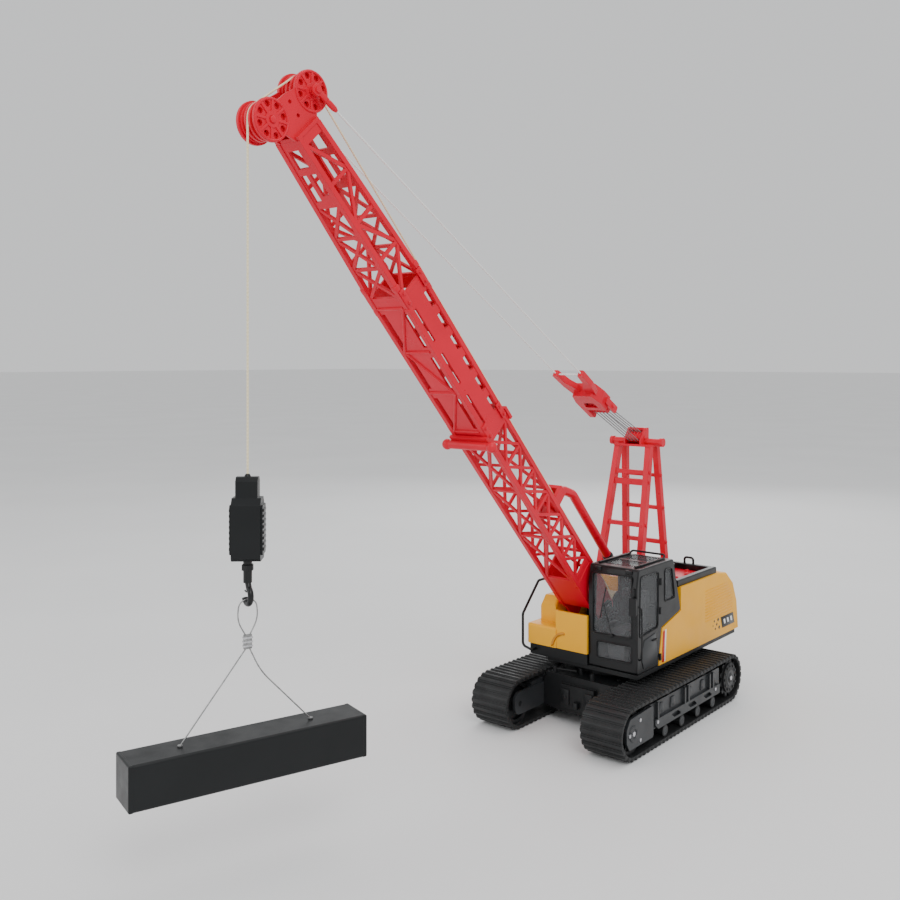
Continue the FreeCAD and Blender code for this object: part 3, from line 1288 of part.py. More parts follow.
def make_hook():
    """The swivelling hook: shank with a head inside the block, and a round bend below."""
    head = Part.makeCylinder(4.6, 3.4, Vector(0, 0, 243.4), UP)
    shank = Part.makeCylinder(3.2, 244 - 219, Vector(0, 0, 219), UP)
    start_angle = 62.0
    section = Part.Face(Part.Wire(Part.makeCircle(HOOK_WIRE, Vector(0, HOOK_BEND, HOOK_CENTRE_Z), UP)))
    bend = section.revolve(Vector(0, 0, HOOK_CENTRE_Z), FORWARD, -215)
    bend.rotate(Vector(0, 0, HOOK_CENTRE_Z), FORWARD, start_angle)
    angle = math.radians(start_angle)
    neck = (0, HOOK_BEND * math.cos(angle), HOOK_CENTRE_Z + HOOK_BEND * math.sin(angle))
    stem = rod(neck, (0, 0, 220), HOOK_WIRE)
    joints = [Part.makeSphere(HOOK_WIRE, Vector(*neck))]
    feature("hook", joined([head, shank, stem, bend] + joints), LOAD)


def make_sling():
    """The wire sling: a loop over the hook, a crimped ferrule and two legs to the beam."""
    radius = size("sling_dia") / 2
    saddle = HOOK_CENTRE_Z - HOOK_BEND + HOOK_WIRE + radius + 0.4
    loop = bent_path([(-1.2, 0, FERRULE_Z + 4), (-8, 0, 192), (-6.5, 0, saddle), (6.5, 0, saddle),
                      (8, 0, 192), (1.2, 0, FERRULE_Z + 4)])
    ferrule = slab("XY", [(-3.2, -1.7), (3.2, -1.7), (3.2, 1.7), (-3.2, 1.7)], FERRULE_Z - 5, FERRULE_Z + 5, 1.5)
    bows = {1: (19, 0, 149), -1: (-10, 0, 153)}
    legs = [
        sweep(bent_path([(side * 1.3, 0, FERRULE_Z - 4.8), bow, (side * SLING_REACH, 0, BEAM_TOP + 0.5)]), radius)
        for side, bow in bows.items()
    ]
    stops = [
        Part.makeCylinder(1.8, 1.2, Vector(side * SLING_REACH, 0, BEAM_TOP), UP) for side in (1, -1)
    ]
    feature("sling", joined([sweep(loop, radius), ferrule] + legs + stops), LOAD)


def make_beam():
    """The load beam: a hollow square box with a cap pressed into each end."""
    half = size("beam_side") / 2
    cap = 3.0
    length = size("beam_length") / 2 - cap
    base = size("beam_base")
    outside = block((-length, -half, base), (length, half, BEAM_TOP))
    outside = outside.makeFillet(2, [e for e in outside.Edges if e.BoundBox.XLength > length])
    inside = block((-length - 1, -half + 2, base + 2), (length + 1, half - 2, BEAM_TOP - 2))
    feature("load_beam", outside.cut(inside), LOAD)
    caps = []
    for side in (1, -1):
        low, high = sorted((side * length, side * (length + cap)))
        plate = block((low, -half, base), (high, half, BEAM_TOP))
        caps.append(plate.makeFillet(1.2, [e for e in plate.Edges if abs(e.BoundBox.XMax) > length + cap - 0.01
                                           or abs(e.BoundBox.XMin) > length + cap - 0.01]))
    feature("load_end_caps", Part.makeCompound(caps), LOAD)


# ---------------------------------------------------------------- build, check and write

make_undercarriage()
make_deck()
make_house()
make_front_cover()
make_cab()
make_handrail()
make_gantry()
make_winches()
make_boom_foot()
make_boom_middle()
make_boom_top()
make_boom_collar()
make_head()
make_sheave("front_sheave", FRONT_SHEAVE)
make_sheave("rear_sheave", REAR_SHEAVE)
make_backstop()
make_bridle()
make_pendants()
make_luff_ropes()
make_hoist_rope()
make_hook_block()
make_hook()
make_sling()
make_beam()

doc.recompute()
for obj in doc.Objects:
    if "Invalid" in obj.State or "Error" in obj.State:
        raise RuntimeError(f"{obj.Label} failed to compute: {obj.State}")
for obj in NODES:
    if obj.Shape.isNull() or not obj.Shape.isValid() or not obj.Shape.Solids:
        raise RuntimeError(f"{obj.Label} has no valid shape")

os.makedirs("parts", exist_ok=True)
for obj in NODES:
    obj.Shape.exportStep(f"parts/{obj.Label}.step")
print(f"{len(NODES)} sub-parts written")
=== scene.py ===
import math

import bmesh
import bpy
from mathutils import Matrix, Vector


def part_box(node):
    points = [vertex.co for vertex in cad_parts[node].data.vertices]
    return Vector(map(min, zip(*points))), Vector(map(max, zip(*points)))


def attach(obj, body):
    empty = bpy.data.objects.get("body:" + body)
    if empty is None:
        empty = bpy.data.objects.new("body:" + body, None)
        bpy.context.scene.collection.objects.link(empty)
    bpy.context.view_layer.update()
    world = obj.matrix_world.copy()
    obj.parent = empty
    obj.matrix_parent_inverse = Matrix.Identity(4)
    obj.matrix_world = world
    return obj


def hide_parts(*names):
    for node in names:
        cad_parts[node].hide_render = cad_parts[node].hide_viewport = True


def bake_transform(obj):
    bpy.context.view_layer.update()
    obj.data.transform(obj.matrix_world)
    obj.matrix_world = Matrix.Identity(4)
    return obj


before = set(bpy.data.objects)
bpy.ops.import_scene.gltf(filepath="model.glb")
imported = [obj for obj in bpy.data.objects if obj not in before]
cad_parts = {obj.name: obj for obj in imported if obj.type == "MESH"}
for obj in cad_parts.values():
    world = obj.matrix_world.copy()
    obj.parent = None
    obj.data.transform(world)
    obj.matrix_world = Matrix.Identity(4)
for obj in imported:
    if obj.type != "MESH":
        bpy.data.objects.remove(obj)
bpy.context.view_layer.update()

# The looks of the toy crawler crane. Shapes are in millimetres in the CAD's frame, and
# Piece.finish turns them into metres. Materials, floor, lights and camera are in metres.

MM = 0.001
X, Y, Z = Vector((1, 0, 0)), Vector((0, 1, 0)), Vector((0, 0, 1))
SIDES = ((1, "left"), (-1, "right"))  # the left, which is the cab's side, is +Y
BEVEL_OVER = 0.5                      # radians between two faces, above which an edge is bevelled
SHARP_OVER = math.radians(38)         # the same, above which an edge is not shaded smooth


def box_mm(node):
    """A CAD node's lowest and highest corners, in millimetres."""
    low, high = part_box(node)
    return low / MM, high / MM


def outer_face(node, side):
    """Where a CAD node's face on one side lies, along Y."""
    low, high = box_mm(node)
    return high.y if side > 0 else low.y


def span(side, near, far):
    """Two distances out to a side, lower coordinate first."""
    return sorted((side * near, side * far))


# ---------------------------------------------------------------- materials

def new_material(name):
    """A node material, its tree and its Principled shader."""
    material = bpy.data.materials.new(name)
    material.use_nodes = True
    tree = material.node_tree
    shader = tree.nodes["Principled BSDF"]
    return material, tree, shader


def noise(tree, scale, detail=3.0, stretch=(1, 1, 1)):
    """Noise in object space, one unit to a metre."""
    where = tree.nodes.new("ShaderNodeTexCoord")
    mapping = tree.nodes.new("ShaderNodeMapping")
    mapping.inputs["Scale"].default_value = stretch
    texture = tree.nodes.new("ShaderNodeTexNoise")
    texture.inputs["Scale"].default_value = scale
    texture.inputs["Detail"].default_value = detail
    tree.links.new(where.outputs["Object"], mapping.inputs["Vector"])
    tree.links.new(mapping.outputs["Vector"], texture.inputs["Vector"])
    return texture.outputs["Fac"]


def spread(tree, source, low, high):
    """source, a value round 0.5, spread between two values."""
    node = tree.nodes.new("ShaderNodeMapRange")
    node.inputs["From Min"].default_value = 0.3
    node.inputs["From Max"].default_value = 0.7
    node.inputs["To Min"].default_value = low
    node.inputs["To Max"].default_value = high
    tree.links.new(source, node.inputs["Value"])
    return node.outputs["Result"]


def two_tone(tree, source, first, second):
    """A colour between two, by a value round 0.5."""
    ramp = tree.nodes.new("ShaderNodeValToRGB")
    ramp.color_ramp.elements[0].position = 0.32
    ramp.color_ramp.elements[0].color = (*first, 1)
    ramp.color_ramp.elements[1].position = 0.68
    ramp.color_ramp.elements[1].color = (*second, 1)
    tree.links.new(source, ramp.inputs["Fac"])
    return ramp.outputs["Color"]


def bumped(tree, shader, height, strength, distance, soften=0.0):
    """A bump from height, over edges softened by a small radius."""
    bump = tree.nodes.new("ShaderNodeBump")
    bump.inputs["Strength"].default_value = strength
    bump.inputs["Distance"].default_value = distance
    tree.links.new(height, bump.inputs["Height"])
    if soften:
        bevel = tree.nodes.new("ShaderNodeBevel")
        bevel.samples = 4
        bevel.inputs["Radius"].default_value = soften
        tree.links.new(bevel.outputs["Normal"], bump.inputs["Normal"])
    tree.links.new(bump.outputs["Normal"], shader.inputs["Normal"])


def plastic(name, colour, shade, rough=(0.25, 0.38), coat=0.0, grain=2400.0, depth=0.12, shine=0.5):
    """Moulded plastic: two close tones, a fine grain and an uneven gloss."""
    material, tree, shader = new_material(name)
    shader.inputs["Specular IOR Level"].default_value = shine
    tree.links.new(two_tone(tree, noise(tree, 22.0), shade, colour), shader.inputs["Base Color"])
    tree.links.new(spread(tree, noise(tree, 60.0, 5.0), *rough), shader.inputs["Roughness"])
    shader.inputs["Coat Weight"].default_value = coat
    shader.inputs["Coat Roughness"].default_value = 0.12
    bumped(tree, shader, noise(tree, grain, 2.0), depth, 0.0002, 0.0005)
    return material


def metal(name, colour, shade, rough=(0.22, 0.42), stretch=(1, 1, 1)):
    """Bare metal, brushed where the noise is stretched."""
    material, tree, shader = new_material(name)
    tones = two_tone(tree, noise(tree, 300.0, 4.0, stretch), shade, colour)
    tree.links.new(tones, shader.inputs["Base Color"])
    tree.links.new(spread(tree, noise(tree, 500.0, 3.0, stretch), *rough), shader.inputs["Roughness"])
    shader.inputs["Metallic"].default_value = 1.0
    bumped(tree, shader, noise(tree, 1400.0, 2.0, stretch), 0.1, 0.0001, 0.0003)
    return material


def cord_material(name, colour, shade):
    """Twisted fibre: slanting bands with a soft fuzz."""
    material, tree, shader = new_material(name)
    where = tree.nodes.new("ShaderNodeTexCoord")
    wave = tree.nodes.new("ShaderNodeTexWave")
    wave.bands_direction = "DIAGONAL"
    wave.inputs["Scale"].default_value = 220
    wave.inputs["Distortion"].default_value = 1.5
    wave.inputs["Detail"].default_value = 2.0
    tree.links.new(where.outputs["Object"], wave.inputs["Vector"])
    tree.links.new(two_tone(tree, wave.outputs["Fac"], shade, colour), shader.inputs["Base Color"])
    tree.links.new(spread(tree, noise(tree, 900.0), 0.55, 0.8), shader.inputs["Roughness"])
    shader.inputs["Sheen Weight"].default_value = 0.3
    bumped(tree, shader, wave.outputs["Fac"], 0.2, 0.0002)
    return material


def glass(name, tint, clear):
    """Thin moulded glazing: a dark tint laid over what is behind it, with a sharp gloss."""
    material, tree, shader = new_material(name)
    darker = tuple(c * 0.9 for c in tint)
    tree.links.new(two_tone(tree, noise(tree, 30.0), darker, tint), shader.inputs["Base Color"])
    tree.links.new(spread(tree, noise(tree, 80.0), 0.02, 0.07), shader.inputs["Roughness"])
    shader.inputs["Alpha"].default_value = clear
    return material


M_RED = plastic("boom_red", (0.72, 0.001, 0.026), (0.64, 0.0008, 0.021), (0.26, 0.38), shine=0.3)
M_YELLOW = plastic("cover_yellow", (0.90, 0.43, 0.004), (0.85, 0.395, 0.003), (0.30, 0.44), shine=0.35)
M_BLACK = plastic("trim_black", (0.0055, 0.006, 0.007), (0.0035, 0.004, 0.0045), (0.24, 0.40),
                  coat=0.1, shine=0.32)
M_CHASSIS = plastic("chassis_black", (0.0075, 0.008, 0.009), (0.005, 0.0055, 0.006), (0.34, 0.52),
                    shine=0.35)
M_FRAME = plastic("track_frame_grey", (0.028, 0.030, 0.033), (0.018, 0.020, 0.022), (0.30, 0.48))
M_RUBBER = plastic("belt_rubber", (0.0085, 0.009, 0.0095), (0.0055, 0.006, 0.0065), (0.45, 0.68),
                   grain=900.0, depth=0.3)
M_LOAD = plastic("load_black", (0.0060, 0.0072, 0.0080), (0.0040, 0.0050, 0.0056), (0.28, 0.44), shine=0.3)
M_SEAT = plastic("seat_grey", (0.030, 0.030, 0.033), (0.018, 0.018, 0.021), (0.5, 0.7),
                 grain=1400.0, depth=0.3)
M_WHITE = plastic("decal_white", (0.86, 0.86, 0.84), (0.80, 0.80, 0.78), (0.3, 0.4))
M_STRIPE = plastic("decal_red", (0.52, 0.006, 0.008), (0.44, 0.004, 0.006), (0.3, 0.4))
# A darker copy of the cover yellow, painted shade, for the arc on the front cover.
M_PAINTED_SHADE = plastic("cover_painted_shade", (0.62, 0.25, 0.008), (0.54, 0.21, 0.006), (0.4, 0.6))
M_BOARD = plastic("board_green", (0.01, 0.12, 0.04), (0.006, 0.08, 0.03), (0.3, 0.45))
M_WRAP = plastic("battery_wrap", (0.02, 0.04, 0.20), (0.012, 0.03, 0.15), (0.25, 0.4))
M_STEEL = metal("pin_steel", (0.68, 0.68, 0.70), (0.52, 0.52, 0.54))
M_CAN = metal("motor_can", (0.60, 0.61, 0.63), (0.48, 0.49, 0.51), (0.3, 0.5), (1, 8, 1))
M_WIRE = metal("sling_wire", (0.42, 0.42, 0.42), (0.24, 0.24, 0.24), (0.35, 0.5))
M_IRON = metal("ballast_iron", (0.18, 0.18, 0.19), (0.11, 0.11, 0.12), (0.5, 0.75))
M_GLASS = glass("cab_glass", (0.26, 0.27, 0.28), 0.17)
M_ROPE = cord_material("hoist_cord", (0.84, 0.74, 0.50), (0.77, 0.67, 0.43))
M_PENDANT = cord_material("pendant_cord", (0.84, 0.84, 0.82), (0.77, 0.77, 0.75))
M_LINE = cord_material("luffing_line", (0.17, 0.17, 0.175), (0.11, 0.11, 0.115))

NODE_MATERIALS = {
    M_RED: ["hood_panel", "gantry_front_frame", "gantry_rear_frame", "gantry_head", "boom_foot_section",
            "boom_middle_section", "boom_top_section", "boom_head", "backstop_strut", "bridle",
            "boom_joint_collar", "front_sheave", "rear_sheave", "gantry_sheaves", "sheave_pins"],
    M_YELLOW: ["house_shell", "front_cover"],
    M_BLACK: ["hood_rim", "lifting_loop", "cab_frame", "cab_mirror", "handrail", "hoist_drum",
              "luff_drum", "boom_foot_brackets", "hook"],
    M_CHASSIS: ["car_body", "battery_cover", "slew_ring", "deck_plate", "winch_frame", "left_idler",
                "right_idler", "left_sprocket", "right_sprocket", "left_track_rollers",
                "right_track_rollers"],
    M_FRAME: ["left_track_frame", "right_track_frame"],
    M_RUBBER: ["left_track_belt", "right_track_belt"],
    M_LOAD: ["hook_block", "load_beam", "load_end_caps"],
    M_SEAT: ["cab_seat"],
    M_BOARD: ["circuit_board"],
    M_WRAP: ["battery_pack"],
    M_STEEL: ["track_frame_screws", "boom_foot_pin"],
    M_CAN: ["drive_motors", "winch_and_slew_motors"],
    M_WIRE: ["sling"],
    M_IRON: ["counterweight"],
    M_GLASS: ["cab_windows", "cab_roof_panels"],
    M_ROPE: ["hoist_rope_boom", "hoist_rope_lower", "hoist_rope_hanging"],
    M_PENDANT: ["pendant_cords"],
    M_LINE: ["luff_ropes"],
}
for material, names in NODE_MATERIALS.items():
    for node in names:
        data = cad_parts[node].data
        data.materials.clear()
        data.materials.append(material)


# ---------------------------------------------------------------- mesh pieces

class Piece:
    """A mesh built from bevelled solids, placed by an optional matrix in millimetres."""

    def __init__(self, name, matrix=None):
        self.name = name
        self.matrix = matrix or Matrix.Identity(4)
        self.mesh = bmesh.new()

    def take(self, part, bevel):
        """Add a solid to the piece, with its sharp edges bevelled. The solid is used up."""
        if bevel:
            sharp = [e for e in part.edges
                     if len(e.link_faces) == 2 and e.calc_face_angle() > BEVEL_OVER]
            bmesh.ops.bevel(part, geom=sharp, offset=bevel, segments=2, profile=0.5,
                            affect="EDGES", clamp_overlap=True)
        bmesh.ops.transform(part, matrix=self.matrix, verts=part.verts)
        held = bpy.data.meshes.new("held")
        part.to_mesh(held)
        part.free()
        self.mesh.from_mesh(held)
        bpy.data.meshes.remove(held)

    def prism(self, plane, outline, low, high, bevel=0.4):
        """An extruded outline. plane names the outline's two axes."""
        a, b = "XYZ".index(plane[0]), "XYZ".index(plane[1])
        c = 3 - a - b
        part = bmesh.new()
        rings = []
        for level in (low, high):
            ring = []
            for u, v in outline:
                point = [0.0, 0.0, 0.0]
                point[a], point[b], point[c] = u, v, level
                ring.append(part.verts.new(point))
            rings.append(ring)
        part.faces.new(rings[0])
        part.faces.new(rings[1])
        count = len(outline)
        for i in range(count):
            j = (i + 1) % count
            part.faces.new((rings[0][i], rings[0][j], rings[1][j], rings[1][i]))
        bmesh.ops.recalc_face_normals(part, faces=part.faces)
        self.take(part, bevel)

    def block(self, low, high, bevel=0.4):
        """A box between two corners."""
        outline = [(low[0], low[1]), (high[0], low[1]), (high[0], high[1]), (low[0], high[1])]
        self.prism("XY", outline, low[2], high[2], bevel)

    def lathe(self, profile, centre, axis, steps=40):
        """A solid turned about axis, from (distance along, radius) points that start and end at radius 0."""
        part = bmesh.new()
        to_axis = Vector(axis).to_track_quat("Z", "Y").to_matrix().to_4x4()
        place = Matrix.Translation(Vector(centre)) @ to_axis
        rings = []
        for along, radius in profile:
            if radius < 1e-6:
                rings.append([part.verts.new((0, 0, along))])
            else:
                rings.append([
                    part.verts.new((radius * math.cos(2 * math.pi * i / steps),
                                    radius * math.sin(2 * math.pi * i / steps), along))
                    for i in range(steps)
                ])
        for first, second in zip(rings, rings[1:]):
            for i in range(steps):
                j = (i + 1) % steps
                corners = [first[i % len(first)], first[j % len(first)],
                           second[j % len(second)], second[i % len(second)]]
                corners = list(dict.fromkeys(corners))
                if len(corners) > 2:
                    part.faces.new(corners)
        bmesh.ops.recalc_face_normals(part, faces=part.faces)
        bmesh.ops.transform(part, matrix=place, verts=part.verts)
        self.take(part, 0)

    def screw(self, centre, axis, radius, height):
        """A domed cap-head screw with a hexagon socket."""
        r, h = radius, height
        profile = [(-0.3, 0), (-0.3, r), (h * 0.6, r), (h, r * 0.72), (h, r * 0.42),
                   (h * 0.45, r * 0.40), (h * 0.45, 0)]
        self.lathe(profile, centre, axis, 18)

    def bolt(self, centre, axis, radius, height):
        """A hexagon head on a washer."""
        r, h = radius, height
        washer = [(-0.2, 0), (-0.2, r * 1.25), (h * 0.25, r * 1.25), (h * 0.25, 0)]
        self.lathe(washer, centre, axis, 24)
        head = [(h * 0.2, 0), (h * 0.2, r), (h * 0.85, r), (h, r * 0.8), (h, 0)]
        self.lathe(head, centre, axis, 6)

    def tube(self, points, radius, steps=10):
        """A round bar along points, with domed ends."""
        points = [Vector(p) for p in points]
        part = bmesh.new()
        rings = []
        side = None
        for i, point in enumerate(points):
            before = points[max(i - 1, 0)]
            after = points[min(i + 1, len(points) - 1)]
            along = (after - before).normalized()
            if side is None:
                side = along.orthogonal().normalized()
            side = (side - along * side.dot(along)).normalized()
            up = along.cross(side)
            rings.append([
                part.verts.new(point + side * radius * math.cos(2 * math.pi * k / steps)
                               + up * radius * math.sin(2 * math.pi * k / steps))
                for k in range(steps)
            ])
        for first, second in zip(rings, rings[1:]):
            for k in range(steps):
                m = (k + 1) % steps
                part.faces.new((first[k], first[m], second[m], second[k]))
        for ring, inner in ((rings[0], points[1]), (rings[-1], points[-2])):
            middle = sum((v.co for v in ring), Vector()) / steps
            out = (middle - inner).normalized() * radius * 0.4
            tip = part.verts.new(middle + out)
            for k in range(steps):
                part.faces.new((ring[k], ring[(k + 1) % steps], tip))
        bmesh.ops.recalc_face_normals(part, faces=part.faces)
        self.take(part, 0)

    def finish(self, body, material, slot, replaces=()):
        """Make the piece an object in metres. A piece given no body rides on none."""
        data = bpy.data.meshes.new(self.name)
        bmesh.ops.scale(self.mesh, vec=(MM, MM, MM), verts=self.mesh.verts)
        self.mesh.to_mesh(data)
        self.mesh.free()
        data.materials.append(material)
        obj = bpy.data.objects.new(self.name, data)
        bpy.context.scene.collection.objects.link(obj)
        data.shade_smooth()
        data.set_sharp_from_angle(angle=SHARP_OVER)
        if replaces:
            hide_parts(*replaces)
        if body:
            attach(obj, body)
        return obj


# ---------------------------------------------------------------- tracks

TRACK_HALF = 109.0        # slew axis to either wheel axle, along X
TRACK_RADIUS = 26.0       # axle height, and the belt's outer radius round a wheel
BAND_OUTER, BELT_INNER = 24.2, 21.5
PAD_COUNT = 76
PAD_PHASE = 0.6           # where the first pad sits, as a share of the pitch
ARC_STEPS = 20            # steps in each half turn of the band


def loop_frame(distance):
    """A point on the line of the axles and the outward angle of the belt there, in the XZ plane."""
    straight = 2 * TRACK_HALF
    turn = math.pi * TRACK_RADIUS
    distance %= 2 * (straight + turn)
    if distance < straight:
        return Vector((-TRACK_HALF + distance, 0, TRACK_RADIUS)), math.pi / 2
    distance -= straight
    if distance < turn:
        return Vector((TRACK_HALF, 0, TRACK_RADIUS)), math.pi / 2 - distance / TRACK_RADIUS
    distance -= turn
    if distance < straight:
        return Vector((TRACK_HALF - distance, 0, TRACK_RADIUS)), -math.pi / 2
    return Vector((-TRACK_HALF, 0, TRACK_RADIUS)), -math.pi / 2 - (distance - straight) / TRACK_RADIUS


def pad_matrix(index, centre_y):
    """A frame on one pad: X along the belt, Y across, Z outwards, its origin on the line of the axles."""
    pitch = (4 * TRACK_HALF + 2 * math.pi * TRACK_RADIUS) / PAD_COUNT
    place, angle = loop_frame((index + PAD_PHASE) * pitch)
    place = place + Vector((0, centre_y, 0))
    out = Vector((math.cos(angle), 0, math.sin(angle)))
    along = Vector((math.sin(angle), 0, -math.cos(angle)))
    matrix = Matrix((along, Y, out)).transposed().to_4x4()
    return Matrix.Translation(place) @ matrix


def band_ring(outer, inner, low, high):
    """The belt's plain band, from its outer and inner radius and its two side levels."""
    def stadium(radius):
        points = []
        for end, start in ((1, -math.pi / 2), (-1, math.pi / 2)):
            for i in range(ARC_STEPS + 1):
                angle = start + math.pi * i / ARC_STEPS
                points.append((end * TRACK_HALF + radius * math.cos(angle),
                               TRACK_RADIUS + radius * math.sin(angle)))
        return points

    part = bmesh.new()
    loops = []
    for radius, level in ((outer, low), (outer, high), (inner, high), (inner, low)):
        loops.append([part.verts.new((x, level, z)) for x, z in stadium(radius)])
    count = len(loops[0])
    for k in range(4):
        first, second = loops[k], loops[(k + 1) % 4]
        for i in range(count):
            j = (i + 1) % count
            part.faces.new((first[i], first[j], second[j], second[i]))
    bmesh.ops.recalc_face_normals(part, faces=part.faces)
    return part


for side, name in SIDES:
    low, high = box_mm(f"{name}_track_belt")
    centre, half = (low.y + high.y) / 2, (high.y - low.y) / 2
    belt = Piece(f"{name}_track_shoes")
    belt.take(band_ring(BAND_OUTER, BELT_INNER, low.y + 0.4, high.y - 0.4), 0)
    for i in range(PAD_COUNT):
        belt.matrix = pad_matrix(i, centre)
        belt.block((-2.9, -half, 23.6), (2.9, half, 24.9), 0.35)
        belt.block((-1.5, 0.3 - half, 24.5), (1.5, half - 0.3, 25.95), 0.4)
        for across in (-1, 1):
            edge = half - 0.4
            a, b = span(across, edge - 3, edge + 0.4)
            belt.block((-2.2, a, 21.7), (2.2, b, 24.4), 0.4)
    belt.finish("chassis", M_RUBBER, "belt_rubber", [f"{name}_track_belt"])

for side, name in SIDES:
    face = outer_face(f"{name}_track_frame", side)
    out = Vector((0, side, 0))
    bits = Piece(f"{name}_frame_fittings")
    for x in (-74, -48, -18, 20, 44):
        a, b = sorted((face - side * 4.3, face - side * 1.6))
        bits.prism("XZ", [(x, 29.5), (x + 11, 29.5), (x + 9, 40), (x + 2, 40)], a, b, 0.8)
    for x in (-70, -40, -10, 26, 50):
        bits.screw((x, face - side * 3, 32), out, 1.6, 1.4)
    for x in (-63, -27, 9, 45):
        bits.lathe([(-0.5, 0), (-0.5, 4.6), (0.35, 4.2), (0.35, 2.4), (0.1, 2.2), (0.45, 0)],
                   (x, face - side * 0.6, 11), out, 28)
    for x in (-50, 30):
        bits.lathe([(-4, 0), (-4, 4.2), (0, 4.2), (0.7, 3.4), (0.7, 0)], (x, face - side * 5, 44.8), out, 28)
    bits.finish("chassis", M_FRAME, "frame_grey")

    face = outer_face(f"{name}_idler", side)
    hub = Piece(f"{name}_idler_hub")
    hub.lathe([(-0.6, 0), (-0.6, 2.6), (1.0, 2.3), (1.2, 1.6), (1.2, 0)],
              (TRACK_HALF, face, TRACK_RADIUS), out, 30)
    hub.finish(f"{name}_idler", M_STEEL, "pin_steel")
    ring = Piece(f"{name}_idler_bearing")
    ear = face + side * 0.2
    ring.lathe([(-0.4, 0), (-0.4, 8.2), (0.9, 7.6), (0.9, 4.8), (0.1, 4.4), (0.1, 0)],
               (TRACK_HALF, ear, TRACK_RADIUS), out, 36)
    for i in range(5):
        angle = 2 * math.pi * (i + 0.3) / 5
        spot = (TRACK_HALF + 6.2 * math.cos(angle), ear + side * 0.4, TRACK_RADIUS + 6.2 * math.sin(angle))
        ring.screw(spot, out, 0.8, 0.6)
    ring.finish("chassis", M_FRAME, "frame_grey")
    spokes = Piece(f"{name}_idler_spokes")
    for i in range(6):
        turn = Matrix.Rotation(math.pi * i / 3, 4, "Y")
        spokes.matrix = Matrix.Translation((TRACK_HALF, face, TRACK_RADIUS)) @ turn
        a, b = span(side, -7.2, -4.4)
        spokes.block((6.2, a, -1.5), (17.2, b, 1.5), 0.5)
    spokes.finish(f"{name}_idler", M_CHASSIS, "chassis_grey")

    face = outer_face(f"{name}_sprocket", side)
    cap = Piece(f"{name}_sprocket_cap")
    cap.lathe([(-2, 0), (-2, 9), (-0.9, 8.6), (-0.9, 5.6), (-0.2, 5.2), (-0.2, 0)],
              (-TRACK_HALF, face, TRACK_RADIUS), out, 36)
    for i in range(6):
        angle = math.pi * (i + 0.5) / 3
        spot = (-TRACK_HALF + 13 * math.cos(angle), face - side * 1.4, TRACK_RADIUS + 13 * math.sin(angle))
        cap.bolt(spot, out, 1.3, 1.2)
    cap.finish(f"{name}_sprocket", M_FRAME, "frame_grey")
    hub = Piece(f"{name}_sprocket_hub")
    hub.lathe([(-0.6, 0), (-0.6, 2.8), (0.1, 2.4), (0.1, 0)], (-TRACK_HALF, face, TRACK_RADIUS), out, 30)
    hub.finish(f"{name}_sprocket", M_STEEL, "pin_steel")

body_top = box_mm("car_body")[1]
fittings = Piece("car_body_fittings")
for side in (-1, 1):
    for x in (-44, -15, 15, 44):
        fittings.screw((x, side * 34, body_top.z - 6.2), Z, 2.0, 1.3)
for y in (-14, 14):
    fittings.block((body_top.x - 0.4, y - 5, 22), (body_top.x + 1.6, y + 5, 38), 0.8)
    fittings.bolt((body_top.x + 1.4, y, 30), X, 2.2, 1.4)
fittings.block((body_top.x - 0.5, -3, 20), (body_top.x + 5, 3, 27), 1.0)
fittings.finish("chassis", M_CHASSIS, "chassis_grey")


# ---------------------------------------------------------------- engine house

HOUSE_Y = box_mm("house_shell")[1].y      # the house's left side, which the cab's side is level with
DECK_BASE = 58.5                          # underside of the deck

for side, name in SIDES:
    louvres = Piece(f"{name}_louvres")
    start = -98 if side > 0 else -62
    for row in range(11):
        z = 86 + row * 3.4
        end = -168 + max(0, row - 6) * 3.2
        low, high = span(side, HOUSE_Y - 0.2, HOUSE_Y + 0.45)
        louvres.prism("XZ", [(end, z), (start, z), (start, z + 1.1), (end, z + 1.5)], low, high, 0.18)
    louvres.finish("superstructure", M_YELLOW, "yellow_cover")

grille = Piece("rear_grille")
(foot_x, foot_z), (top_x, top_z) = (-183.6, 96.5), (-173.4, 119)
for i in range(8):
    share = (i + 0.5) / 8
    x = foot_x + (top_x - foot_x) * share
    z = foot_z + (top_z - foot_z) * share
    slat = [(x - 0.7, z - 0.5), (x + 2, z - 1.6), (x + 2.4, z - 0.4), (x - 0.2, z + 0.9)]
    grille.prism("XZ", slat, -34, 34, 0.25)
grille.finish("superstructure", M_BLACK, "black_trim")

decal = Piece("house_plate")
decal.prism("XZ", [(-174, 71), (-141, 71), (-137, 84), (-170, 84)], HOUSE_Y, HOUSE_Y + 0.35, 0.15)
for column in range(4):
    for row in range(3):
        x, z, half = -133 + column * 5 + row * 1.4, 73.5 + row * 4.6, 2.3 - column * 0.45
        if (column + row) % 2 == 0:
            decal.prism("XZ", [(x - half, z), (x, z - half), (x + half, z), (x, z + half)],
                        HOUSE_Y, HOUSE_Y + 0.25, 0)
decal.finish("superstructure", M_BLACK, "black_trim")
marks = Piece("house_plate_marks")
for i in range(3):
    x = -167.5 + i * 9
    outline = [(x, 75), (x + 4.2, 75), (x + 6.0, 80.6), (x + 1.8, 80.6)]
    marks.prism("XZ", outline, HOUSE_Y + 0.3, HOUSE_Y + 0.55, 0.1)
marks.finish("superstructure", M_WHITE, "yellow_cover")

white = Piece("cab_stripe_white")
white.prism("XZ", [(-2, 65), (5, 65), (5, 68), (2.4, 97), (-4.6, 98)], HOUSE_Y, HOUSE_Y + 0.3, 0.1)
white.finish("superstructure", M_WHITE, "yellow_cover")
red = Piece("cab_stripe_red")
red.prism("XZ", [(1.2, 65), (5.2, 65), (5.2, 68), (2.6, 97), (-1.4, 97.5)], HOUSE_Y + 0.1, HOUSE_Y + 0.5, 0.1)
red.finish("superstructure", M_STRIPE, "yellow_cover")

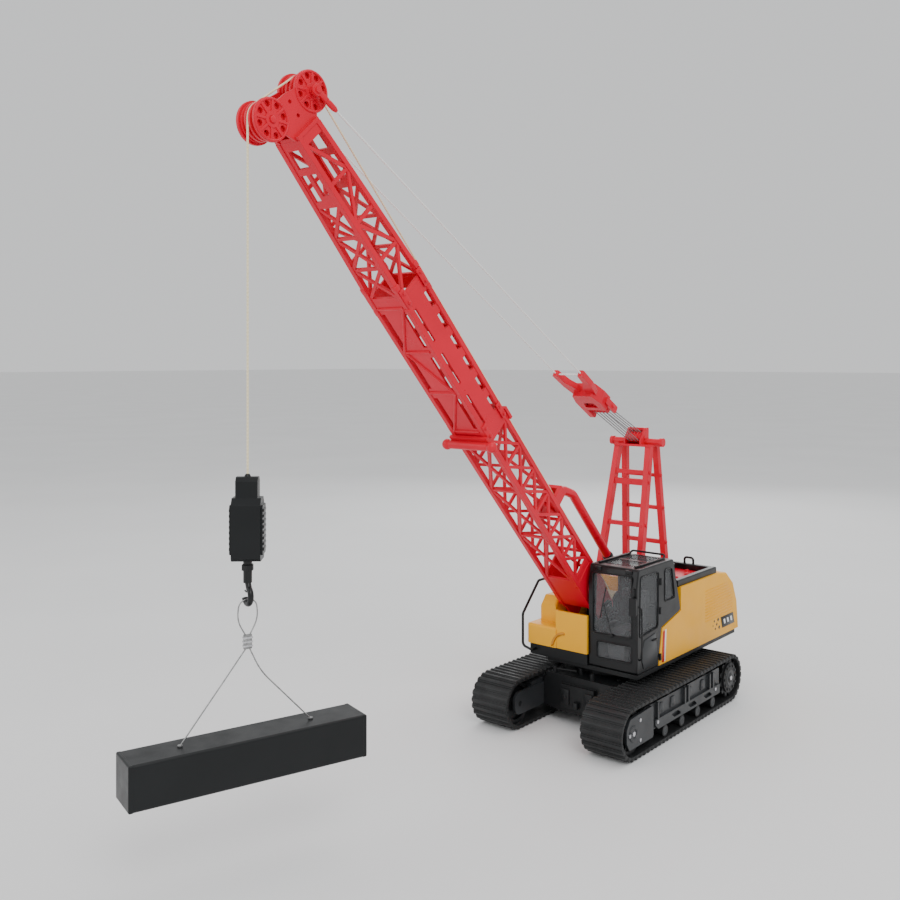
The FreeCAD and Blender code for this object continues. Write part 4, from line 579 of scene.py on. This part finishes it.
HOOD = box_mm("hood_panel")[1].z
hood = Piece("hood_ribs")
for i in range(7):
    x = -112 + i * 9
    hood.block((x, -46, HOOD - 0.3), (x + 4, -8, HOOD + 1.2), 0.6)
for x, y in ((-118, 30), (-100, 38), (-78, 36), (-60, 28)):
    hood.bolt((x, y, HOOD), Z, 2.2, 1.8)
hood.finish("superstructure", M_RED, "red_boom")

pipe = Piece("exhaust_pipe")
pipe.lathe([(-1, 0), (-1, 6), (7, 6), (8, 5.2), (8, 4.2), (2, 4.2), (2, 0)], (-110, 12, HOOD), Z, 32)
pipe.finish("superstructure", M_BLACK, "black_trim")

deck_bits = Piece("deck_edge_bolts")
for x in (-160, -120, -80):
    for side in (-1, 1):
        deck_bits.screw((x, side * 50, DECK_BASE), -Z, 1.6, 0.9)
deck_bits.finish("superstructure", M_CHASSIS, "chassis_grey")

cover_front = box_mm("front_cover")[1].x
# The arc on the front cover, drawn in the darker yellow as painted shade.
arc = Piece("front_cover_arc")
points = []
for i in range(13):
    angle = math.radians(90 + 82 * i / 12)
    points.append((cover_front - 1.0, -22 + 15 * math.cos(angle), 76 + 15.5 * math.sin(angle)))
arc.tube(points, 1.5, 8)
arc.finish("superstructure", M_PAINTED_SHADE, "yellow_cover")


# ---------------------------------------------------------------- cab

CAB_ROOF = box_mm("cab_frame")[1].z
CAB_Y = HOUSE_Y
CORNER = 4.0              # how far from a window's corner its seal starts to turn
SEAL_RADIUS = 0.8


def seal(piece, plane, outline, level):
    """A raised gasket round a window, in one bar with rounded corners."""
    axes = ["XYZ".index(plane[0]), "XYZ".index(plane[1])]
    third = 3 - sum(axes)
    corners = []
    for u, v in outline:
        point = [0.0, 0.0, 0.0]
        point[axes[0]], point[axes[1]], point[third] = u, v, level
        corners.append(Vector(point))
    path = []
    count = len(corners)
    for i, corner in enumerate(corners):
        before, after = corners[i - 1], corners[(i + 1) % count]
        start = corner + (before - corner).normalized() * CORNER
        end = corner + (after - corner).normalized() * CORNER
        for share in (0.0, 0.25, 0.5, 0.75, 1.0):
            a = start.lerp(corner, share)
            b = corner.lerp(end, share)
            path.append(a.lerp(b, share))
    path.append(path[0])
    path.append(path[1])
    piece.tube(path, SEAL_RADIUS, 8)


seals = Piece("cab_window_seals")
seal(seals, "XZ", [(52.6, 99.8), (13.5, 103.4), (12, 161.4), (50.6, 161.4)], CAB_Y)
seal(seals, "XZ", [(-1, 127), (-24, 127), (-17, 161), (-1, 161)], CAB_Y)
seal(seals, "YZ", [(10.5, 98), (56.4, 99), (56.4, 162), (10.5, 161)], 57.5)
seal(seals, "YZ", [(15, 73), (56, 74), (56, 92), (15, 91)], 57.1)
seals.finish("superstructure", M_BLACK, "black_trim")

door = Piece("cab_door_panel")
door.prism("XZ", [(20, 99), (43, 96), (50, 81), (45, 67), (18, 67), (15.4, 76)],
           CAB_Y - 0.3, CAB_Y + 0.8, 0.6)
door.finish("superstructure", M_FRAME, "black_trim")
handle = Piece("cab_door_handle")
handle.tube([(20, CAB_Y, 93), (20.5, CAB_Y + 2.2, 93), (24, CAB_Y + 2.6, 93), (27.5, CAB_Y + 2.2, 93),
             (28, CAB_Y, 93)], 0.8)
handle.tube([(53, CAB_Y, 78), (53, CAB_Y + 3, 80), (53.4, CAB_Y + 3.4, 104), (53.6, CAB_Y + 3, 130),
             (53.6, CAB_Y, 132)], 0.9)
for x, z in ((10.2, 72), (10.2, 120), (9, 150)):
    handle.lathe([(-3.4, 0), (-3.4, 1.5), (3.4, 1.5), (3.4, 0)], (x, CAB_Y + 0.6, z), Z, 14)
handle.finish("superstructure", M_BLACK, "black_trim")

wiper = Piece("windscreen_wiper")
wiper.tube([(58.8, 34, 99), (59.6, 34, 102), (59.8, 26, 128), (59.6, 24, 134)], 0.5, 8)
wiper.tube([(59.6, 21, 116), (59.6, 28, 148)], 0.6, 8)
wiper.lathe([(-1, 0), (-1, 2), (1.8, 2), (2.4, 1.2), (2.4, 0)], (57.8, 34, 99), X, 18)
wiper.finish("superstructure", M_BLACK, "black_trim")

roof = Piece("cab_roof_bits")
for y in (13, 55):
    roof.block((-14, y - 1.2, CAB_ROOF - 5.4), (48, y + 1.2, CAB_ROOF - 3.2), 0.5)
roof.finish("superstructure", M_BLACK, "black_trim")
lamps = Piece("cab_roof_lamps")
for y in (16, 52):
    lamps.block((50.5, y - 4, 163), (56.2, y + 4, 167.5), 0.8)
lamps.finish("superstructure", M_BLACK, "black_trim")

inside = Piece("cab_controls")
seat_low, seat_high = box_mm("cab_seat")
for y in (seat_low.y - 5, seat_high.y + 5):
    inside.block((16, y - 3, 92), (36, y + 3, 104), 1.0)
    inside.tube([(32, y, 103), (33, y, 110), (32.5, y, 117)], 0.9, 8)
    inside.lathe([(-2.6, 0), (-2.4, 1.6), (0, 2.4), (2.4, 1.8), (3, 0)], (32.5, y, 118), Z, 16)
inside.finish("superstructure", M_BLACK, "black_trim")
cushion = Piece("cab_seat_cushions")
middle = (seat_low.y + seat_high.y) / 2
cushion.prism("XZ", [(13, 99.5), (40, 100.5), (41, 103.5), (13, 103)], middle - 8, middle + 8, 1.2)
cushion.prism("XZ", [(16.4, 104), (18.8, 104), (16.6, 136), (14.2, 136)], middle - 8, middle + 8, 1.0)
cushion.prism("XZ", [(8, 139), (13, 139), (12, 147), (8, 147)], middle - 5, middle + 5, 1.4)
cushion.finish("superstructure", M_SEAT, "black_trim")

mirror_low, mirror_high = box_mm("cab_mirror")
glass_face = Piece("mirror_glass")
glass_face.prism("YZ", [(mirror_low.y + 1.2, 125.4), (mirror_high.y - 1.2, 125.4),
                        (mirror_high.y - 1.2, 140.6), (mirror_low.y + 1.2, 140.6)], 60.2, 60.8, 0.15)
glass_face.finish("superstructure", M_STEEL, "pin_steel")


# ---------------------------------------------------------------- boom and gantry

# BOOM's frame has its origin at the foot pin, X along the boom, Y across it and Z towards its back.
BOOM_Y = -18
BOOM_ANGLE = math.radians(46.6)
BOOM = Matrix.Translation((18, BOOM_Y, 116)) @ Matrix.Rotation(-BOOM_ANGLE, 4, "Y")
HALF_WIDTH, HALF_DEPTH = 20.0, 18.0
LOWER_JOINT, UPPER_JOINT = 278.0, 448.0

joints = Piece("boom_joint_plates", BOOM)
for station in (LOWER_JOINT + 9, UPPER_JOINT):
    for side in (1, -1):
        for back in (1, -1):
            low, high = span(side, HALF_WIDTH - 0.1, HALF_WIDTH + 1.2)
            z0, z1 = span(back, HALF_DEPTH - 7, HALF_DEPTH - 0.4)
            plate = [(station - 9, z0), (station + 9, z0), (station + 9, z1), (station - 9, z1)]
            joints.prism("XZ", plate, low, high, 0.5)
            for dx in (-5, 5):
                joints.bolt((station + dx, side * (HALF_WIDTH + 1.1), (z0 + z1) / 2), (0, side, 0), 1.7, 1.5)
joints.finish("boom", M_RED, "red_boom")

ribs = Piece("boom_face_ribs", BOOM)
edge, level = HALF_WIDTH - 5.5, -HALF_DEPTH + 0.6
stations = [LOWER_JOINT + 12 + 50 * i for i in range(4)]
for i, (start, end) in enumerate(zip(stations, stations[1:])):
    lean = edge if i % 2 else -edge
    ribs.tube([(start, lean, level), (end, -lean, level)], 1.5, 8)
for station in stations:
    ribs.tube([(station, -edge, level), (station, edge, level)], 1.5, 8)
ribs.finish("boom", M_RED, "red_boom")

sockets = Piece("boom_chord_sockets", BOOM)
for station in (UPPER_JOINT - 12, UPPER_JOINT + 12):
    for side in (1, -1):
        for back in (1, -1):
            y0, y1 = span(side, HALF_WIDTH - 4.9, HALF_WIDTH + 0.5)
            z0, z1 = span(back, HALF_DEPTH - 4.9, HALF_DEPTH + 0.5)
            sockets.block((station - 3, y0, z0), (station + 3, y1, z1), 0.6)
sockets.finish("boom", M_RED, "red_boom")

BOSS_STATION = 34
foot = Piece("boom_foot_bosses", BOOM)
for side in (1, -1):
    foot.lathe([(-0.5, 0), (-0.5, 11), (1.0, 10.4), (1.0, 6), (0.1, 5.6), (0.1, 0)],
               (BOSS_STATION, side * (HALF_WIDTH - 0.2), 0), (0, side, 0), 32)
    foot.screw((BOSS_STATION, side * HALF_WIDTH, 0), (0, side, 0), 2.4, 1.6)
foot.finish("boom", M_RED, "red_boom")

FRONT, REAR = (631, -26), (625, 22)       # the head's sheaves: station along the boom, offset to its back
GUARD = 10.1                              # the guard discs' outer faces, from the boom's middle
RIM_RADIUS, RIM_STEPS = 15.3, 48
guards = Piece("head_guard_ribs", BOOM)
hubs = Piece("head_hub_caps", BOOM)
for station, offset in (FRONT, REAR):
    for side in (1, -1):
        face = side * GUARD
        guards.lathe([(-0.3, 0), (-0.3, 6.4), (1.0, 6.0), (1.0, 3.0), (0.6, 2.8), (0.6, 0)],
                     (station, face, offset), (0, side, 0), 30)
        rim = []
        for i in range(RIM_STEPS + 1):
            angle = 2 * math.pi * i / RIM_STEPS
            rim.append((station + RIM_RADIUS * math.cos(angle), face + side * 0.1,
                        offset + RIM_RADIUS * math.sin(angle)))
        guards.tube(rim, 1.1, 8)
        for i in range(8):
            turn = Matrix.Translation((station, face, offset)) @ Matrix.Rotation(math.pi * i / 4, 4, "Y")
            guards.matrix = BOOM @ turn
            low, high = span(side, -0.2, 0.9)
            guards.block((5.0, low, -1.0), (14.8, high, 1.0), 0.35)
        guards.matrix = BOOM
        hubs.lathe([(-0.2, 0), (-0.2, 2.9), (1.6, 2.6), (2.0, 1.8), (2.0, 0)],
                   (station, face + side * 0.6, offset), (0, side, 0), 24)
guards.finish("boom", M_RED, "red_boom")
hubs.finish("boom", M_RED, "red_boom")

LEG_FOOT, LEG_TOP = 136, 281              # how high the gantry legs start and end
HALF_SPREAD, LEG_LEAN = 26, 6             # half the legs' spread at the foot, and how far they lean in
FRONT_LEG, REAR_LEG = -45, -107           # the legs' feet, along X
gantry = Piece("gantry_fittings")
for front, spots in ((True, (252, 241, 194)), (False, (247, 209, 169))):
    for z in spots:
        rise = z - LEG_FOOT
        share = rise / (LEG_TOP - LEG_FOOT)
        x = FRONT_LEG - 28.5 * rise / 121 if front else REAR_LEG + 12 * share
        for side in (1, -1):
            y = BOOM_Y + side * (HALF_SPREAD - LEG_LEAN * share + 3.2)
            gantry.bolt((x, y, z), (0, side, 0), 2.0, 1.5)
for x, top in ((FRONT_LEG, 137), (REAR_LEG, 143.5)):
    for side in (1, -1):
        y = BOOM_Y + side * HALF_SPREAD
        gantry.block((x - 7, y - 5, top - 1), (x + 7, y + 5, top + 1.6), 0.6)
gantry.finish("superstructure", M_RED, "red_boom")

buffer = Piece("backstop_buffer", BOOM)
buffer.lathe([(-0.6, 0), (-0.6, 4.2), (0, 5.4), (3, 6.1), (6, 5.4), (9, 6.1), (12, 5.4), (12.6, 4.8),
              (12.6, 0)], (-2.4, 0, 60), X, 32)
buffer.finish("boom", M_BLACK, "black_trim")


# ---------------------------------------------------------------- ropes

def fluted(piece, start, end, radius, lobes=6):
    """A straight cord with a lobed section and corners only at its two ends, so that it stays straight."""
    start, end = Vector(start), Vector(end)
    along = (end - start).normalized()
    side = along.orthogonal().normalized()
    up = along.cross(side)
    part = bmesh.new()
    rings = []
    steps = lobes * 4
    for point in (start, end):
        ring = []
        for i in range(steps):
            angle = 2 * math.pi * i / steps
            reach = radius * (0.93 + 0.07 * math.cos(lobes * angle))
            ring.append(part.verts.new(point + (side * math.cos(angle) + up * math.sin(angle)) * reach))
        rings.append(ring)
    for i in range(steps):
        j = (i + 1) % steps
        part.faces.new((rings[0][i], rings[0][j], rings[1][j], rings[1][i]))
    part.faces.new(rings[0])
    part.faces.new(rings[1])
    bmesh.ops.recalc_face_normals(part, faces=part.faces)
    piece.take(part, 0)


hang_low, hang_high = box_mm("hoist_rope_hanging")
hang_x, hang_y = (hang_low.x + hang_high.x) / 2, (hang_low.y + hang_high.y) / 2
top, bottom = Vector((hang_x, hang_y, hang_high.z)), Vector((hang_x, hang_y, hang_low.z))
hanging = Piece("hanging_rope")
fluted(hanging, top, bottom, 0.9)
hanging = hanging.finish(None, M_ROPE, "hoist_cord", ["hoist_rope_hanging"])
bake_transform(hanging)

ROPE_BACK = REAR[1] + 14.0                # the hoist rope behind the boom, to its back
lower = Piece("lower_hoist_rope")
drum_end, guide_end = BOOM @ Vector((-28, 0, ROPE_BACK)), BOOM @ Vector((139, 0, ROPE_BACK))
fluted(lower, drum_end, guide_end, 0.8)
lower = lower.finish(None, M_ROPE, "hoist_cord", ["hoist_rope_lower"])
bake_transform(lower)

# BRIDLE's frame has its origin at the bridle's front and X along the pendants.
BRIDLE_TIP = Vector((59, BOOM_Y, 366))
pendant = (BOOM @ Vector((REAR[0], 0, REAR[1]))) - BRIDLE_TIP
lean = math.atan2(pendant.z, pendant.x)
BRIDLE = Matrix.Translation(BRIDLE_TIP) @ Matrix.Rotation(-lean, 4, "Y")
PENDANT_RADIUS = 0.85
cords = Piece("pendant_ropes", BRIDLE)
ends = Piece("pendant_sockets", BRIDLE)
reach = pendant.length
for side in (1, -1):
    tip, head = Vector((2, side * 15.6, 0)), Vector((reach - 14, side * 16, 0))
    fluted(cords, tip, head, PENDANT_RADIUS)
    ends.lathe([(0, 0), (0, 1.4), (3, 2.4), (9, 2.5), (12, 2.2), (12, 0)], (reach - 24, side * 16, 0), X, 24)
    ends.block((reach - 13, side * 16 - 1.4, -2.4), (reach - 1, side * 16 + 1.4, 2.4), 0.6)
    ends.lathe([(-1.5, 0), (-1.5, 4.4), (-1.1, 4.7), (1.1, 4.7), (1.5, 4.4), (1.5, 0)],
               (reach, side * 16, 0), (0, side, 0), 30)
fluted(cords, (-1, -12.2, 0), (-1, 12.2, 0), PENDANT_RADIUS)
cords.finish("boom", M_PENDANT, "pendant_cord", ["pendant_cords"])
ends.finish("boom", M_RED, "red_boom", ["pendant_cords"])

BRIDLE_SHEAVE, GANTRY_SHEAVE = 4.15, 5.35     # sheave axis to rope
FALL_PITCH = 4.4
roller = BRIDLE @ Vector((-76, 0, 0))
gantry_roller = Vector((-84, BOOM_Y, 291))
line = gantry_roller - roller
across = Vector((-line.z, 0, line.x)).normalized()
falls = Piece("luffing_falls")
for i in range(4):
    y = Vector((0, (i - 1.5) * FALL_PITCH, 0))
    for sign in (1, -1):
        start = roller + y + across * (sign * BRIDLE_SHEAVE)
        end = gantry_roller + y + across * (sign * GANTRY_SHEAVE)
        fluted(falls, start, end, 0.5)
falls = falls.finish(None, M_LINE, "pendant_cord", ["luff_ropes"])
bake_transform(falls)


COIL_STEPS = 22


def coil(name, body, centre, radius, half, cord, pitch, material, slot):
    """Cord wound on a drum in one layer, half to each side of its centre."""
    piece = Piece(name)
    turns = (2 * half) / pitch
    count = int(turns * COIL_STEPS)
    points = []
    for i in range(count + 1):
        angle = 2 * math.pi * i / COIL_STEPS
        points.append((centre.x + radius * math.cos(angle), centre.y - half + 2 * half * i / count,
                       centre.z + radius * math.sin(angle)))
    piece.tube(points, cord, 6)
    piece.finish(body, material, slot)


low, high = box_mm("hoist_drum")
coil("hoist_drum_rope", "hoist_drum", (low + high) / 2, 12.75, 13.8, 0.72, 1.6, M_ROPE, "hoist_cord")
low, high = box_mm("luff_drum")
coil("luff_drum_rope", "luff_drum", (low + high) / 2, 10.5, 14.2, 0.5, 1.15, M_LINE, "pendant_cord")

clamps = Piece("bridle_fittings", BRIDLE)
for side in (1, -1):
    clamps.screw((-4, side * 15.6, 3.3), Z, 1.5, 1.1)
    clamps.bolt((-70, side * 17.9, 0), (0, side, 0), 2.0, 1.4)
    clamps.tube([(-30, side * 9, 3.6), (-20, side * 11, 3.9), (-10, side * 12.5, 3.6)], 0.9, 8)
clamps.finish("boom", M_RED, "red_boom")


# ---------------------------------------------------------------- hook block and load

block_low, block_high = box_mm("hook_block")
centre = Vector(((block_low.x + block_high.x) / 2, (block_low.y + block_high.y) / 2, 0))


def about_rope(degrees):
    """A frame on the hoist rope's line, on the ground and turned about the rope."""
    return Matrix.Translation((centre.x, centre.y, 0)) @ Matrix.Rotation(math.radians(degrees), 4, "Z")


BLOCK, LOAD = about_rope(42), about_rope(-17)
BLOCK_HALF = 12.0
shell = Piece("hook_block_cheeks", BLOCK)
for side in (1, -1):
    low, high = span(side, BLOCK_HALF - 0.3, BLOCK_HALF + 0.6)
    for z in range(243, 272, 4):
        shell.block((-6.2, low, z), (6.2, high, z + 2), 0.3)
shell.lathe([(-1, 0), (-1, 2.6), (1.4, 2.2), (2.6, 1.4), (2.6, 0)], (0, 0, block_high.z - 0.6), Z, 24)
shell.finish("hook_block", M_LOAD, "load_black")

nut = Piece("hook_nut_and_latch", LOAD)
nut.lathe([(-2, 0), (-2, 4.6), (2, 4.6), (2.4, 4.0), (2.4, 0)], (0, 0, 230), Z, 6)
nut.tube([(0, 4.6, 217.5), (0, 1.6, 213.8), (0, -2.4, 211.6), (0, -5.2, 212.2)], 0.6, 8)
nut.finish("hook", M_CHASSIS, "load_black")

crimp = Piece("sling_crimp_rings", LOAD)
for z in (173, 176, 179):
    crimp.prism("XY", [(-3.5, -2.0), (3.5, -2.0), (3.5, 2.0), (-3.5, 2.0)], z - 0.7, z + 0.7, 0.4)
crimp.finish("hook", M_STEEL, "sling_wire")

BEAM_TOP = 110.0
trim = Piece("load_beam_trim", LOAD)
for side in (1, -1):
    trim.lathe([(-0.2, 0), (-0.2, 2.2), (0.5, 1.9), (0.5, 0)], (side * 50, 0, BEAM_TOP), Z, 24)
trim.finish("hook", M_LOAD, "load_black")


# ---------------------------------------------------------------- floor, light and camera

FLOOR_HALF = 30
FLOOR_LEVEL = -0.0004         # just below the belts, so that the two never share a plane


def floor():
    """A wide pale floor."""
    material, tree, shader = new_material("floor_paper")
    tones = two_tone(tree, noise(tree, 3.0), (0.80, 0.80, 0.80), (0.83, 0.83, 0.83))
    tree.links.new(tones, shader.inputs["Base Color"])
    tree.links.new(spread(tree, noise(tree, 60.0), 0.7, 0.85), shader.inputs["Roughness"])
    data = bpy.data.meshes.new("floor")
    far = FLOOR_HALF
    data.from_pydata([(-far, -far, 0), (far, -far, 0), (far, far, 0), (-far, far, 0)], [], [(0, 1, 2, 3)])
    data.materials.append(material)
    obj = bpy.data.objects.new("floor", data)
    obj.location.z = FLOOR_LEVEL
    bpy.context.scene.collection.objects.link(obj)


def area_light(name, place, target, size, power):
    """A square soft light that faces target."""
    data = bpy.data.lights.new(name, "AREA")
    data.size = size
    data.energy = power
    obj = bpy.data.objects.new(name, data)
    obj.location = place
    obj.rotation_euler = (Vector(target) - Vector(place)).to_track_quat("-Z", "Y").to_euler()
    bpy.context.scene.collection.objects.link(obj)


floor()
area_light("key_light", (1.3, 1.6, 1.7), (0.1, 0, 0.25), 1.1, 22)
area_light("fill_light", (1.7, -0.9, 0.9), (0.1, 0, 0.25), 1.4, 7)
area_light("top_light", (-0.2, 0.3, 2.0), (0.1, 0, 0.2), 1.6, 10)
area_light("rear_light", (-1.5, -0.8, 1.0), (0, 0, 0.25), 1.2, 7)

world = bpy.data.worlds.new("studio")
world.use_nodes = True
background = world.node_tree.nodes["Background"]
background.inputs["Color"].default_value = (0.96, 0.97, 0.98, 1)
background.inputs["Strength"].default_value = 0.85
bpy.context.scene.world = world

lens = bpy.data.cameras.new("camera")
lens.sensor_width = 36
lens.lens = 40
lens.shift_y = -0.1
camera = bpy.data.objects.new("camera", lens)
camera.location = (0.94942, 0.56010, 0.38068)
camera.rotation_euler = (math.radians(90), 0, math.radians(129.75))
bpy.context.scene.collection.objects.link(camera)
bpy.context.scene.camera = camera

bpy.context.view_layer.update()
